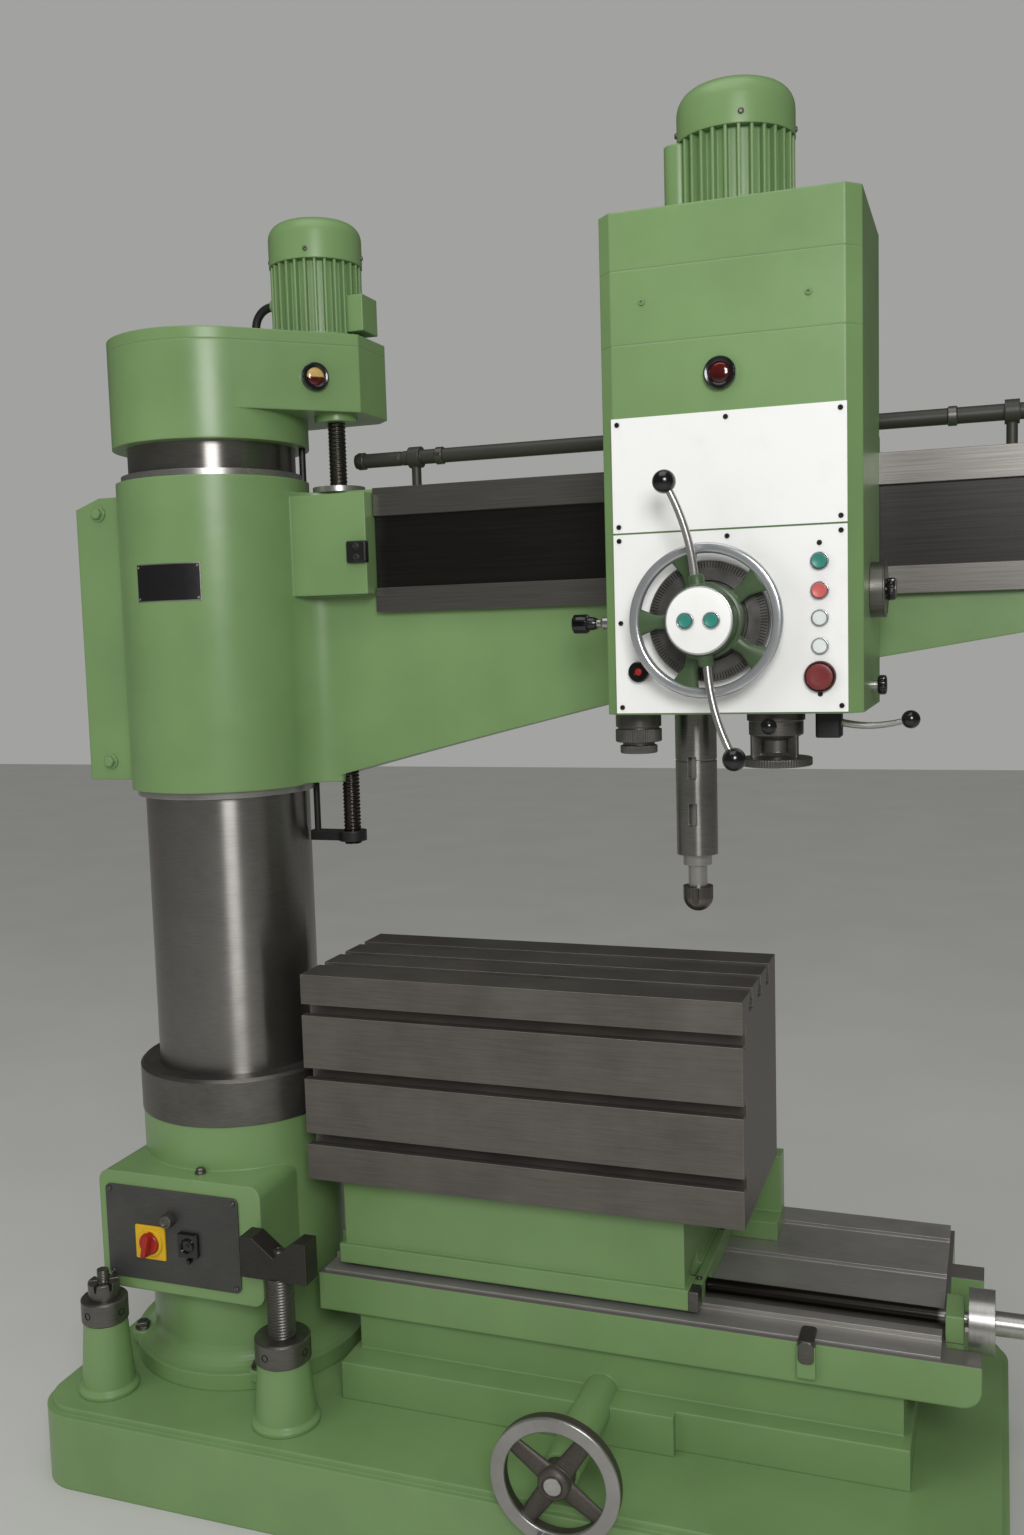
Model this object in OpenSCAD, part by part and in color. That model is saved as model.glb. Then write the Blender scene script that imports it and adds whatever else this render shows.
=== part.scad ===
// Radial arm drill with a box table on a cross slide. Lengths are in millimetres.
// The origin is on the floor under the column axis. X runs along the base and the arm,
// the operator stands on the -Y side, and Z is up.

/* [Base] */
// Column axis to the left end of the base
base_left = 297; // [285:1:330]
// Column axis to the right end of the base
base_right = 1610; // [1590:5:1800]
// Column axis to the front of the base
base_front = 407; // [400:1:425]
// Column axis to the back of the base
base_back = 450; // [430:1:520]
// Height of the base casting
base_h = 170; // [150:1:190]
// Height of the column foot
foot_h = 552; // [540:1:600]
// Radius of the column foot
foot_r = 215; // [205:1:222]

/* [Column] */
// Outer radius of the turning column tube
tube_r = 175; // [165:1:180]
// Wall of the column tube
tube_wall = 25; // [18:1:35]
// Outer radius of the clamp ring at the foot of the column
ring_r = 217; // [208:1:225]
// Height of the clamp ring
ring_h = 100; // [80:1:110]
// Clamp ring to the underside of the arm sleeve
sleeve_rise = 597; // [590:1:680]
// Sleeve top to the underside of the top casing
casing_gap = 71; // [69:1:110]
// Height of the top casing without its lid
casing_h = 193; // [180:1:210]
// Height of the casing lid
lid_h = 24; // [18:1:30]
// Radius of the round end of the top casing
casing_r = 205; // [200:1:215]

/* [Arm] */
// Outer radius of the arm sleeve
sleeve_r = 202; // [197:1:210]
// Height of the arm sleeve
sleeve_h = 640; // [620:1:660]
// Column axis to the free end of the arm
arm_end = 1760; // [1745:5:1900]
// Height of the arm's guide rails
rail_h = 253; // [240:1:270]
// Sleeve top to the top of the rails
rail_drop = 29; // [20:1:40]
// Width of the arm casting from front to back
arm_t = 175; // [150:1:185]

/* [Head] */
// Column axis to the middle of the drill head
head_x = 1164; // [1130:1:1180]
// Width of the drill head
head_w = 428; // [420:1:440]
// Depth of the drill head in front of the rails
head_d = 330; // [320:1:350]
// Height of the head's main casting
head_body_h = 612; // [600:1:640]
// Height of the head's middle cover
mid_cover_h = 120; // [110:1:140]
// Height of the head's top cover
top_cover_h = 94; // [80:1:110]
// Rail top to the underside of the head
head_hang = 448; // [440:1:456]
// Radius of the traverse wheel
wheel_r = 126; // [118:1:132]
// Hub axis to the middle of a feed lever's ball
lever_reach = 227; // [215:1:240]

/* [Spindle] */
// Radius of the quill
quill_r = 37; // [33:1:42]
// Length of the quill
quill_l = 590; // [570:1:610]
// Head underside to the lower end of the quill
quill_out = 262; // [240:1:280]
// Radius of the spindle
spindle_r = 20; // [17:0.5:22]
// Radius of the end mill
mill_r = 27; // [20:1:30]

/* [Table] */
// Height of the fixed pedestal under the bed
pedestal_h = 160; // [150:1:180]
// Height of the bed casting
bed_h = 80; // [70:1:90]
// Length of the bed
bed_l = 1248; // [1230:1:1250]
// Width of the bed
bed_w = 560; // [550:1:575]
// Height of the carriage
carriage_h = 192; // [180:1:210]
// Length of the box table
table_l = 901; // [880:1:920]
// Width of the box table
table_w = 386; // [370:1:400]
// Height of the box table
table_h = 430; // [410:1:440]
// Width of a clamping slot's mouth
slot_w = 24; // [18:1:26]
// Radius of the table handwheels
handwheel_r = 120; // [110:1:125]

/* [Hidden] */
$fn = 64;

machine_green = "#6f8f5a";
ground_steel = "#4a4845";
bright_steel = "#b5b5b3";
gloss_black = "#1b1b1c";
panel_grey = "#6d6f6f";
plate_white = "#f2f2f0";
signal_red = "#b3322c";
signal_green = "#2f8f7a";

// Clearances and cuts
fit = 0.05;
gap = 0.3;
cut = 1;
// Overlap of two shapes that make one solid
join = 2;

// Base and column foot
base_corner_r = 90;
base_lip_h = 14;
base_lip_in = 12;
foot_flange_out = 42;
foot_flange_r = foot_r + foot_flange_out;
foot_flange_h = 36;
foot_fillet = 40;
core_r = 118;
core_wall = 22;
bearing_h = 36;
bearing_lift = 16;
ring_z = base_h + foot_h;
ring_top = ring_z + ring_h;
ring_bevel = 6;

// Switch box on the foot
box_left = 199;
box_right = 186;
box_front = 262;
box_h = 253;
box_drop = 347;
box_z = ring_z - box_drop;
box_corner_r = 25;
panel_margin = 17;
panel_low = 25;
panel_w = 317;
panel_h = 200;
panel_corner_r = 12;
panel_t = 4;
switch_x = -75;
switch_share = 0.42;
switch_r = 21;
switch_disc_h = 10;
switch_bar_w = 11;
switch_bar_h = 18;
fuse_x = -25;
fuse_share = 0.705;
fuse_r = 13;
fuse_h = 18;
socket_x = 18;
socket_share = 0.455;
socket_w = 44;
socket_h = 48;
socket_d = 9;
panel_z = box_z + panel_low;
panel_x = -box_left + panel_margin;
panel_y = -box_front - panel_t;

// Screw jacks beside the foot
left_jack_x = 175;
right_jack_x = 246;
jack_y = 300;
left_jack = [-left_jack_x, -jack_y];
right_jack = [right_jack_x, -jack_y];
left_screw_r = 20;
right_screw_r = 28;
left_post_r = 54;
right_post_r = 61;
jack_taper = 9;
jack_flare = 8;
jack_flare_h = 16;
left_post_h = 150;
right_post_h = 130;
left_nut_r = 48;
right_nut_r = 56;
jack_nut_h = 50;
jack_seat_h = 40;
left_stud_h = 18;
right_rod_h = 120;
v_block_w = 145;
v_block_d = 48;
v_block_h = 82;
v_depth = 36;
v_half_w = 46;

// Pedestal, bed and ways
pedestal_x0 = 320;
pedestal_x1 = 1442;
pedestal_front = 175;
pedestal_back = 400;
pedestal_foot_h = 78;
pedestal_set = 45;
pedestal_set_back = 10;
pedestal_set_x = 14;
rib_x1 = 1014;
rib_proud = 22;
bed_x0 = 252;
bed_front = 150;
bed_nose_l = 62;
bed_nose_r = 34;
front_nose_w = 55;
rear_nose_y = 190;
rear_nose_w = 60;
bed_nose_ys = [[-bed_front, -bed_front + front_nose_w], [rear_nose_y, rear_nose_y + rear_nose_w]];
stop_lug_x = 1240;
stop_lug_w = 34;
stop_lug_h = 64;
stop_lug_d = 13;
pedestal_top = base_h + pedestal_h;
bed_z = pedestal_top + gap;
bed_top = bed_z + bed_h;
bed_x1 = bed_x0 + bed_l;
ways_h = 15;
ways_inset = 8;
ways_end = 10;
front_strip_w = 57;
front_strip_h = 5;
channel_w = 56;
groove_w = 20;
groove_d = 8;
groove_shares = [0.53, 0.83];
ways_top = bed_top + ways_h;

// Cross screw and its handwheel
cross_x = 856;
cross_rise = 68;
cross_z = base_h + cross_rise;
cross_screw_r = 16;
boss_r = 36;
cross_wheel_y = -448;
cross_nut_w = 64;
cross_nut_y0 = -10;
cross_nut_y1 = 60;
cross_nut_low = 34;
cross_room = 6;
cross_front_travel = 60;
cross_back_travel = 80;
wheel_rim_r = 13;
wheel_hub_r = 30;
wheel_hub_l = 44;
wheel_spoke_r = 11;
wheel_spokes = 4;
wheel_spoke_turn = 35;
wheel_grip_r = 14;
wheel_grip_l = 78;
wheel_grip_pin_r = 7;
wheel_grip_turn = 194;

// Carriage, table and the table screw
carriage_x0 = 300;
carriage_l = 722;
carriage_front = 115;
carriage_w = 336;
ledge_h = 40;
ledge_out = 10;
carriage_z = ways_top + gap;
table_z = carriage_z + carriage_h;
table_x0 = 247;
table_front = 166;
table_top = table_z + table_h;
slot_depth = 20;
tee_w = 42;
tee_h = 18;
top_slot_shares = [0.25, 0.5, 0.75];
front_slot_shares = [0.2, 0.52, 0.83];
wiper_w = 18;
wiper_h = 12;
screw_y = -30;
screw_rise = 26;
screw_z = bed_top + screw_rise;
table_screw_r = 14;
tunnel_h = 62;
nut_x0 = 600;
nut_x1 = 680;
tunnel_room = 2;
rear_arm_x0 = 1000;
rear_post_x0 = 1086;
rear_post_x1 = 1147;
rear_post_y0 = 278;
rear_post_y1 = 322;
rear_post_h = 165;
left_bearing_t = 20;
left_bearing_w = 50;
right_bearing_t = 30;
right_bearing_w = 90;
bearing_rise = 24;
bearing_drop = 66;
dial_r = 58;
dial_l = 46;
dial_gap = 38;
shaft_r = 22;
table_wheel_x = 1690;

// Column tube, casing and the lift drive
sleeve_z = ring_top + sleeve_rise;
sleeve_top = sleeve_z + sleeve_h;
sleeve_lip_h = 14;
sleeve_lip_in = 12;
casing_z = sleeve_top + casing_gap;
casing_top = casing_z + casing_h;
lid_top = casing_top + lid_h;
tube_socket = 60;
tube_lift = 2;
casing_rise = 60;
casing_face_turn = 46.4;
casing_end = 336;
casing_end_y = 165;
casing_bevel = 35;
casing_wall = 20;
casing_floor = 16;
casing_boss_h = 15;
casing_boss_r = 45;
lift_x = 267;
lift_y = 60;
lift_screw_r = 19;
motor_x = 210;
motor_y = 106;
gear_teeth = 34;
pinion_teeth = 19;
gear_centres = norm([motor_x - lift_x, motor_y - lift_y]);
lift_gear_r = gear_centres * gear_teeth / (gear_teeth + pinion_teeth);
lift_pinion_r = gear_centres * pinion_teeth / (gear_teeth + pinion_teeth);
gear_tooth = 5;
tooth_root_share = 0.6;
tooth_tip_share = 0.4;
tip_half_share = 0.1;
root_half_share = 0.2;
gear_h = 34;
gear_room = 7;
gear_z = casing_z + casing_rise + casing_floor + gear_room;
pinion_shaft_r = 12;
lift_motor_r = 82;
lift_fin_h = 14;
lift_motor_h = 160;
lift_cowl_r = 98;
lift_cowl_h = 88;
motor_flange_h = 12;
fin_count = 28;
fin_w = 5;
cowl_round = 32;
shaft_socket = 50;
gland_r = 13;
gland_l = 12;
conduit_r = 9;
conduit_bend = 42;
conduit_rise = 52;
terminal_box_w = 70;
terminal_box_d = 26;
terminal_box_low = 16;
terminal_box_h = 74;
glass_r = 24;
glass_t = 8;
glass_share = 0.64;
guide_rod_x = 183;
guide_rod_r = 7;
rod_room = 1;
bracket_h = 22;
bracket_drop = 107;
bracket_w = 24;
bracket_rod_r = 12;
bracket_screw_r = 30;
screw_tail = 6;

// Arm casting and rails
rail_top = sleeve_top - rail_drop;
rail_z = rail_top - rail_h;
rail_t = 20;
rail_x0 = 372;
rail_end_in = 15;
rail_x1 = arm_end - rail_end_in;
rail_upper_h = 57;
rail_lower_h = 50;
rail_recess = 8;
arm_front = rail_t;
arm_back = arm_front + arm_t;
arm_end_drop = 54;
arm_low_end = rail_z - arm_end_drop;
knee_x = 846;
knee_drop = 198;
knee_z = rail_z - knee_drop;
root_x = 210;
root_rise = 3;
root_z = sleeve_z + root_rise;
bend_x = 430;
bend_rise = 62;
bend_z = sleeve_z + bend_rise;
arm_fillet = 80;
pad_y = -35;
pad_x1 = 370;
pad_drop = 10;
pad_top = rail_top - pad_drop;
pad_h = 205;
nut_r = 36;
nut_l = 110;
nut_flange_r = 55;
nut_flange_h = 12;
screw_room = 6;
cover_x = -310;
cover_w = 120;
cover_drop = 18;
cover_top = sleeve_top - cover_drop;
cover_h = 610;
cover_slope = 22;
tube_y = 110;
cable_rise = 70;
tube_z = rail_top + cable_rise;
cable_r = 15;
cable_x0 = 287;
cable_joint_x = 390;
cable_joint_w = 6;
cable_joint_d = 2;
cable_post_x0 = 425;
cable_post_x1 = 1603;
post_r = 10;
post_clamp_r = 22;
post_clamp_l = 26;

// Drill head
head_z = rail_top - head_hang;
head_x0 = head_x - head_w / 2;
head_x1 = head_x + head_w / 2;
head_back = -gap;
head_front = -head_d;
head_bevel = 24;
head_mid_z = head_z + head_body_h;
head_upper_z = head_mid_z + mid_cover_h;
head_top = head_upper_z + top_cover_h;
lip_h = 28;
lip_d = 14;
spindle_left = 93;
spindle_x = head_x - spindle_left;
spindle_y = -165;
plate_t = 4;
plate_in = 22;
plate_seam = 3;
plate_split_rise = 302;
plate_top_rise = 493;
plate_low_rise = 3;
plate_split = head_z + plate_split_rise;
plate_top = head_z + plate_top_rise;
plate_low = head_z + plate_low_rise;
plate_y = head_front - plate_t;
hub_left = 29;
hub_rise = 155;
hub_x = head_x - hub_left;
hub_z = head_z + hub_rise;
capstan_shaft_r = 28;
capstan_depth = 70;
traverse_hub_r = 46;
traverse_hub_l = 58;
traverse_rim_at = 14;
traverse_rim_r = 9;
traverse_spokes = 5;
traverse_spoke_r = 8;
traverse_spoke_turn = 54;
capstan_r = 56;
capstan_l = 36;
capstan_bevel = 5;
wheel_y = plate_y - gap - traverse_hub_l;
capstan_y = wheel_y - gap - capstan_l;
lever_r = 7;
lever_ball_r = 19;
lever_turn = -13;
lever_lean = 4;
lever_boss_r = 13;
lever_boss_l = 74;
cap_r = 52;
cap_t = 5;
hub_button_x = 21;
button_gap = 0.3;
button_travel = 4;
hub_button_r = 11;
hub_button_h = 6;
button_depth = 6;
button_right = 148;
start_rise = 245;
reverse_rise = 198;
upper_lamp_rise = 154;
lower_lamp_rise = 109;
stop_rise = 60;
button_x = head_x + button_right;
start_z = head_z + start_rise;
reverse_z = head_z + reverse_rise;
lamp_zs = [head_z + upper_lamp_rise, head_z + lower_lamp_rise];
stop_z = head_z + stop_rise;
button_r = 12;
button_h = 12;
stop_r = 21;
stop_h = 16;
lamp_r = 11;
lamp_h = 7;
sight_lamp_left = 151;
sight_lamp_rise = 73;
sight_lamp_r = 16;
head_glass_r = 26;
head_glass_drop = 59;
head_glass_z = head_mid_z - head_glass_drop;
head_glass_t = 10;
head_motor_left = 8;
head_motor_x = head_x - head_motor_left;
head_motor_r = 85;
head_fin_h = 14;
head_motor_h = 136;
head_cowl_r = 100;
head_cowl_h = 86;
head_cowl_round = 38;
terminal_r = 25;
terminal_h = 134;
terminal_left = 102;
terminal_x = head_x - terminal_left;
terminal_y = -190;

// Quill, spindle and tool
quill_z = head_z - quill_out;
quill_groove = 3;
quill_joint = 169;
drift_w = 14;
drift_h = 40;
lower_drift_z = 54;
upper_drift_z = 138;
drift_zs = [lower_drift_z, upper_drift_z];
nose_r = 26;
nose_h = 19;
arbor_r = 17;
arbor_h = 40;
mill_h = 46;
mill_flutes = 4;
flute_r = 9;
spindle_top = 20;
quill_up_travel = 190;
quill_end_room = 10;
quill_room = spindle_top + quill_up_travel + quill_end_room;

// Controls on and under the head
control_y = -165;
dial_rise = 200;
dial_z = head_z + dial_rise;
side_dial_r = 47;
side_dial_t = 24;
side_knob_r = 16;
side_knob_l = 17;
knob_rise = 157;
knob_z = head_z + knob_rise;
knob_stem_r = 9;
knob_stem_l = 64;
clamp_knob_r = 15;
clamp_knob_l = 40;
stem_depth = 25;
lock_rise = 38;
lock_z = head_z + lock_rise;
lock_stem_l = 11;
lock_knob_r = 15;
lock_knob_l = 14;
depth_dial_left = 179;
depth_dial_x = head_x - depth_dial_left;
under_y = -240;
depth_dial_r = 40;
depth_dial_h = 52;
depth_step_h = 20;
depth_step_r = 32;
selector_right = 62;
selector_x = head_x + selector_right;
selector_r = 46;
selector_h = 42;
selector_neck_r = 24;
selector_rim_r = 60;
selector_rim_h = 14;
selector_drop = 79;
selector_ball_r = 13;
selector_stem_r = 6;
selector_reach = 34;
lever_block = 42;
lever_block_h = 45;
lever_rod_drop = 16;
clamp_right = 151;
clamp_x = head_x + clamp_right;
clamp_reach = 132;
clamp_ball_r = 15;
clamp_rod_r = 6;
clamp_pin_r = 10;

// Shared shapes
module block(x0, x1, y0, y1, z0, z1) {
  translate([x0, y0, z0]) cube([x1 - x0, y1 - y0, z1 - z0]);
}

module post(x, y, r, z0, z1) {
  translate([x, y, z0]) cylinder(r = r, h = z1 - z0);
}

module bar_x(y, z, r, x0, x1) {
  translate([x0, y, z]) rotate([0, 90, 0]) cylinder(r = r, h = x1 - x0);
}

module bar_y(x, z, r, y0, y1) {
  translate([x, y1, z]) rotate([90, 0, 0]) cylinder(r = r, h = y1 - y0);
}

module round_rect(x0, x1, y0, y1, r) {
  translate([x0 + r, y0]) square([x1 - x0 - 2 * r, y1 - y0]);
  translate([x0, y0 + r]) square([x1 - x0, y1 - y0 - 2 * r]);
  for (x = [x0 + r, x1 - r], y = [y0 + r, y1 - r]) translate([x, y]) circle(r);
}

// Slab with rounded corners in plan
module plan_slab(x0, x1, y0, y1, r, z0, z1) {
  translate([0, 0, z0]) linear_extrude(z1 - z0) round_rect(x0, x1, y0, y1, r);
}

// Slab with rounded corners seen from the front
module face_slab(x0, x1, z0, z1, r, y0, y1) {
  translate([0, y1, 0]) rotate([90, 0, 0]) linear_extrude(y1 - y0) round_rect(x0, x1, z0, z1, r);
}

// Handwheel about the Y axis: the hub starts at y = 0, the rim and spokes lie at y = rim_at
module spoked_wheel(rim_radius, tube, rim_at, hub, hub_l, hub_bore, spoke, spokes, turn) {
  difference() {
    union() {
      translate([0, rim_at, 0]) rotate([90, 0, 0]) rotate_extrude()
        translate([rim_radius - tube, 0]) circle(tube);
      rotate([-90, 0, 0]) cylinder(r = hub, h = hub_l);
      for (i = [0 : spokes - 1])
        translate([0, rim_at, 0]) rotate([0, turn + i * 360 / spokes, 0])
          cylinder(r = spoke, h = rim_radius - tube);
    }
    translate([0, -cut, 0]) rotate([-90, 0, 0]) cylinder(r = hub_bore, h = hub_l + 2 * cut);
  }
}

// Outline of a straight-sided gear; the first tooth points along +X
module gear_outline(teeth, pitch_r, tooth) {
  step = 360 / teeth;
  polygon([for (i = [0 : teeth - 1], side = [-1, 1], k = [0, 1])
    let (inner = (side < 0) == (k == 0))
    let (radius = inner ? pitch_r - tooth * tooth_root_share : pitch_r + tooth * tooth_tip_share)
    let (angle = i * step + side * step * (inner ? root_half_share : tip_half_share))
    radius * [cos(angle), sin(angle)]]);
}

// Motor frame with cooling fins, standing at z = 0
module finned_frame(r, fin_h, h, fins) {
  linear_extrude(h) {
    circle(r);
    for (i = [0 : fins - 1])
      rotate(i * 360 / fins) translate([0, -fin_w / 2]) square([r + fin_h, fin_w]);
  }
  cylinder(r = r + fin_h, h = motor_flange_h);
}

// Fan cover with a rounded crown, standing at z = 0
module fan_cowl(r, h, round_r) {
  rotate_extrude() {
    square([r, h - round_r]);
    square([r - round_r, h]);
    translate([r - round_r, h - round_r]) intersection() {
      circle(round_r);
      square(round_r);
    }
  }
}

// Base and column foot
module base_plate() {
  color(machine_green) {
    plan_slab(-base_left, base_right, -base_front, base_back, base_corner_r, 0, base_h - base_lip_h);
    plan_slab(-base_left + base_lip_in, base_right - base_lip_in, -base_front + base_lip_in,
      base_back - base_lip_in, base_corner_r - base_lip_in, base_h - base_lip_h - join, base_h);
  }
}

module column_foot() {
  shoulder = base_h + foot_flange_h;
  color(machine_green) difference() {
    union() {
      rotate_extrude() polygon(concat(
        [[0, base_h], [foot_flange_r, base_h], [foot_flange_r, shoulder]],
        [for (a = [0 : 15 : 90])
          [foot_r + foot_fillet * (1 - sin(a)), shoulder + foot_fillet * (1 - cos(a))]],
        [[foot_r, ring_z], [0, ring_z]]));
      face_slab(-box_left, box_right, box_z, box_z + box_h, box_corner_r, -box_front, 0);
    }
    post(0, 0, core_r + fit, base_h - cut, ring_z + cut);
  }
}

// Fixed inner pillar with the two bearings that the column turns on
module column_core() {
  bearing_r = tube_r - tube_wall - fit;
  core_top = casing_z - tube_lift;
  color(ground_steel) {
    difference() {
      post(0, 0, core_r, base_h, core_top);
      post(0, 0, core_r - core_wall, base_h - cut, core_top + cut);
    }
    for (z = [ring_z + bearing_lift, core_top - bearing_lift - bearing_h]) difference() {
      post(0, 0, bearing_r, z, z + bearing_h);
      post(0, 0, core_r + fit, z - cut, z + bearing_h + cut);
    }
  }
}

module clamp_ring() {
  color(ground_steel) rotate_extrude() polygon([
    [tube_r + fit, ring_z], [ring_r, ring_z], [ring_r, ring_top - ring_bevel],
    [ring_r - ring_bevel, ring_top], [tube_r + fit, ring_top]]);
}

// Switch box fittings
module switch_panel() {
  color(panel_grey) {
    face_slab(panel_x, panel_x + panel_w, panel_z, panel_z + panel_h, panel_corner_r, panel_y, -box_front);
    bar_y(fuse_x, panel_z + panel_h * fuse_share, fuse_r, panel_y - fuse_h, panel_y + join);
    block(socket_x - socket_w / 2, socket_x + socket_w / 2, panel_y - socket_d, panel_y + join,
      panel_z + panel_h * socket_share - socket_h / 2, panel_z + panel_h * socket_share + socket_h / 2);
  }
}

module main_switch() {
  z = panel_z + panel_h * switch_share;
  y = panel_y - gap;
  color(signal_red) {
    bar_y(switch_x, z, switch_r, y - switch_disc_h, y);
    block(switch_x - switch_bar_w / 2, switch_x + switch_bar_w / 2, y - switch_disc_h - switch_bar_h, y,
      z - switch_r, z + switch_r);
  }
}

// Screw jacks
module jack_post(place, r, post_h, screw_r) {
  translate([place[0], place[1], base_h]) difference() {
    rotate_extrude() polygon([
      [0, 0], [r + jack_flare, 0], [r + jack_flare, jack_flare_h / 2], [r, jack_flare_h],
      [r - jack_taper, post_h], [0, post_h]]);
    translate([0, 0, jack_seat_h]) cylinder(r = screw_r + fit, h = post_h);
  }
}

module jack_nut(place, r, post_h, screw_r) {
  translate([place[0], place[1], base_h + post_h + gap]) difference() {
    cylinder(r = r, h = jack_nut_h);
    translate([0, 0, -cut]) cylinder(r = screw_r + fit, h = jack_nut_h + 2 * cut);
  }
}

module jack_posts() {
  color(machine_green) {
    jack_post(left_jack, left_post_r, left_post_h, left_screw_r);
    jack_post(right_jack, right_post_r, right_post_h, right_screw_r);
  }
}

module left_jack_nut() {
  color(ground_steel) jack_nut(left_jack, left_nut_r, left_post_h, left_screw_r);
}

module right_jack_nut() {
  color(ground_steel) jack_nut(right_jack, right_nut_r, right_post_h, right_screw_r);
}

module left_jack_screw() {
  top = base_h + left_post_h + gap + jack_nut_h + left_stud_h;
  color(ground_steel) post(left_jack[0], left_jack[1], left_screw_r, base_h + jack_seat_h + gap, top);
}

module right_jack_screw() {
  top = base_h + right_post_h + gap + jack_nut_h + right_rod_h;
  color(ground_steel) {
    post(right_jack[0], right_jack[1], right_screw_r, base_h + jack_seat_h + gap, top + join);
    translate([right_jack[0], right_jack[1] + v_block_d / 2, top]) rotate([90, 0, 0])
      linear_extrude(v_block_d) polygon([
        [-v_block_w / 2, 0], [v_block_w / 2, 0], [v_block_w / 2, v_block_h], [v_half_w, v_block_h],
        [0, v_block_h - v_depth], [-v_half_w, v_block_h], [-v_block_w / 2, v_block_h]]);
  }
}

// Pedestal and cross slide
module table_pedestal() {
  foot_top = base_h + pedestal_foot_h;
  rib_front = -pedestal_front - rib_proud;
  boss_end = cross_wheel_y + wheel_hub_l + gap;
  color(machine_green) difference() {
    union() {
      block(pedestal_x0, pedestal_x1, -pedestal_front, pedestal_back, base_h, foot_top);
      block(pedestal_x0, rib_x1, rib_front, 0, base_h, foot_top);
      block(pedestal_x0 + pedestal_set_x, pedestal_x1 - pedestal_set_x, -pedestal_front + pedestal_set,
        pedestal_back - pedestal_set_back, base_h, pedestal_top);
      bar_y(cross_x, cross_z, boss_r, boss_end, 0);
    }
    bar_y(cross_x, cross_z, cross_screw_r + fit, boss_end - cut,
      cross_nut_y1 + cross_back_travel + cross_room);
    block(cross_x - cross_nut_w / 2 - gap, cross_x + cross_nut_w / 2 + gap,
      cross_nut_y0 - cross_front_travel - cut, cross_nut_y1 + cross_back_travel + cut,
      cross_z - cross_nut_low - gap, pedestal_top + cut);
  }
}

module bed() {
  color(machine_green) difference() {
    union() {
      block(bed_x0, bed_x1, -bed_front, bed_w - bed_front, bed_z, bed_top);
      for (y = bed_nose_ys) {
        face_slab(bed_x1 - bed_nose_l, bed_x1 + bed_nose_l, bed_z, bed_top, bed_nose_r, y[0], y[1]);
        block(bed_x1 - bed_nose_l, bed_x1 + bed_nose_l, y[0], y[1], bed_z + bed_h / 2, bed_top);
      }
      block(cross_x - cross_nut_w / 2, cross_x + cross_nut_w / 2, cross_nut_y0, cross_nut_y1,
        cross_z - cross_nut_low, bed_z + join);
      block(bed_x0 + ways_end, bed_x0 + ways_end + left_bearing_t, screw_y - left_bearing_w / 2,
        screw_y + left_bearing_w / 2, bed_top - join, screw_z + bearing_rise);
      block(bed_x1 - join, bed_x1 + right_bearing_t, screw_y - right_bearing_w / 2,
        screw_y + right_bearing_w / 2, screw_z - bearing_drop, screw_z + bearing_rise);
      block(stop_lug_x, stop_lug_x + stop_lug_w, -bed_front - stop_lug_d, -bed_front + join,
        bed_top - stop_lug_h, bed_top);
    }
    bar_y(cross_x, cross_z, cross_screw_r + fit, cross_nut_y0 - cut, cross_nut_y1 + cut);
    bar_x(screw_y, screw_z, table_screw_r + fit, bed_x0 - cut, bed_x1 + right_bearing_t + cut);
  }
}

// Ground steel ways with the screw channel and two oil grooves
module bed_ways() {
  x0 = bed_x0 + ways_end;
  x1 = bed_x1 - ways_inset;
  strip_y = -bed_front + ways_inset;
  y1 = bed_w - bed_front - ways_inset;
  color(ground_steel) {
    block(x0, x1, strip_y, strip_y + front_strip_w, bed_top, bed_top + front_strip_h);
    difference() {
      block(x0, x1, strip_y + front_strip_w, y1, bed_top, ways_top);
      block(x0 - cut, x1 + cut, screw_y - channel_w / 2, screw_y + channel_w / 2,
        bed_top - cut, ways_top + cut);
      for (share = groove_shares)
        block(x0 - cut, x1 + cut, strip_y + bed_w * share - groove_w / 2,
          strip_y + bed_w * share + groove_w / 2, ways_top - groove_d, ways_top + cut);
    }
  }
}

module cross_screw() {
  color(bright_steel)
    bar_y(cross_x, cross_z, cross_screw_r, cross_wheel_y, cross_nut_y1 + cross_back_travel);
}

// Grip on a pin in the rim, in front of a handwheel
module wheel_grip() {
  reach = handwheel_r - wheel_rim_r;
  color(gloss_black) rotate([0, wheel_grip_turn, 0]) translate([0, 0, reach]) rotate([90, 0, 0]) {
    translate([0, 0, -wheel_hub_l / 2]) cylinder(r = wheel_grip_pin_r, h = wheel_hub_l / 2 + cut);
    cylinder(r = wheel_grip_r, h = wheel_grip_l);
  }
}

module cross_handwheel() {
  color(ground_steel) translate([cross_x, cross_wheel_y, cross_z]) {
    spoked_wheel(handwheel_r, wheel_rim_r, wheel_hub_l / 2, wheel_hub_r, wheel_hub_l, cross_screw_r,
      wheel_spoke_r, wheel_spokes, wheel_spoke_turn);
  }
  translate([cross_x, cross_wheel_y, cross_z]) wheel_grip();
}

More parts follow.
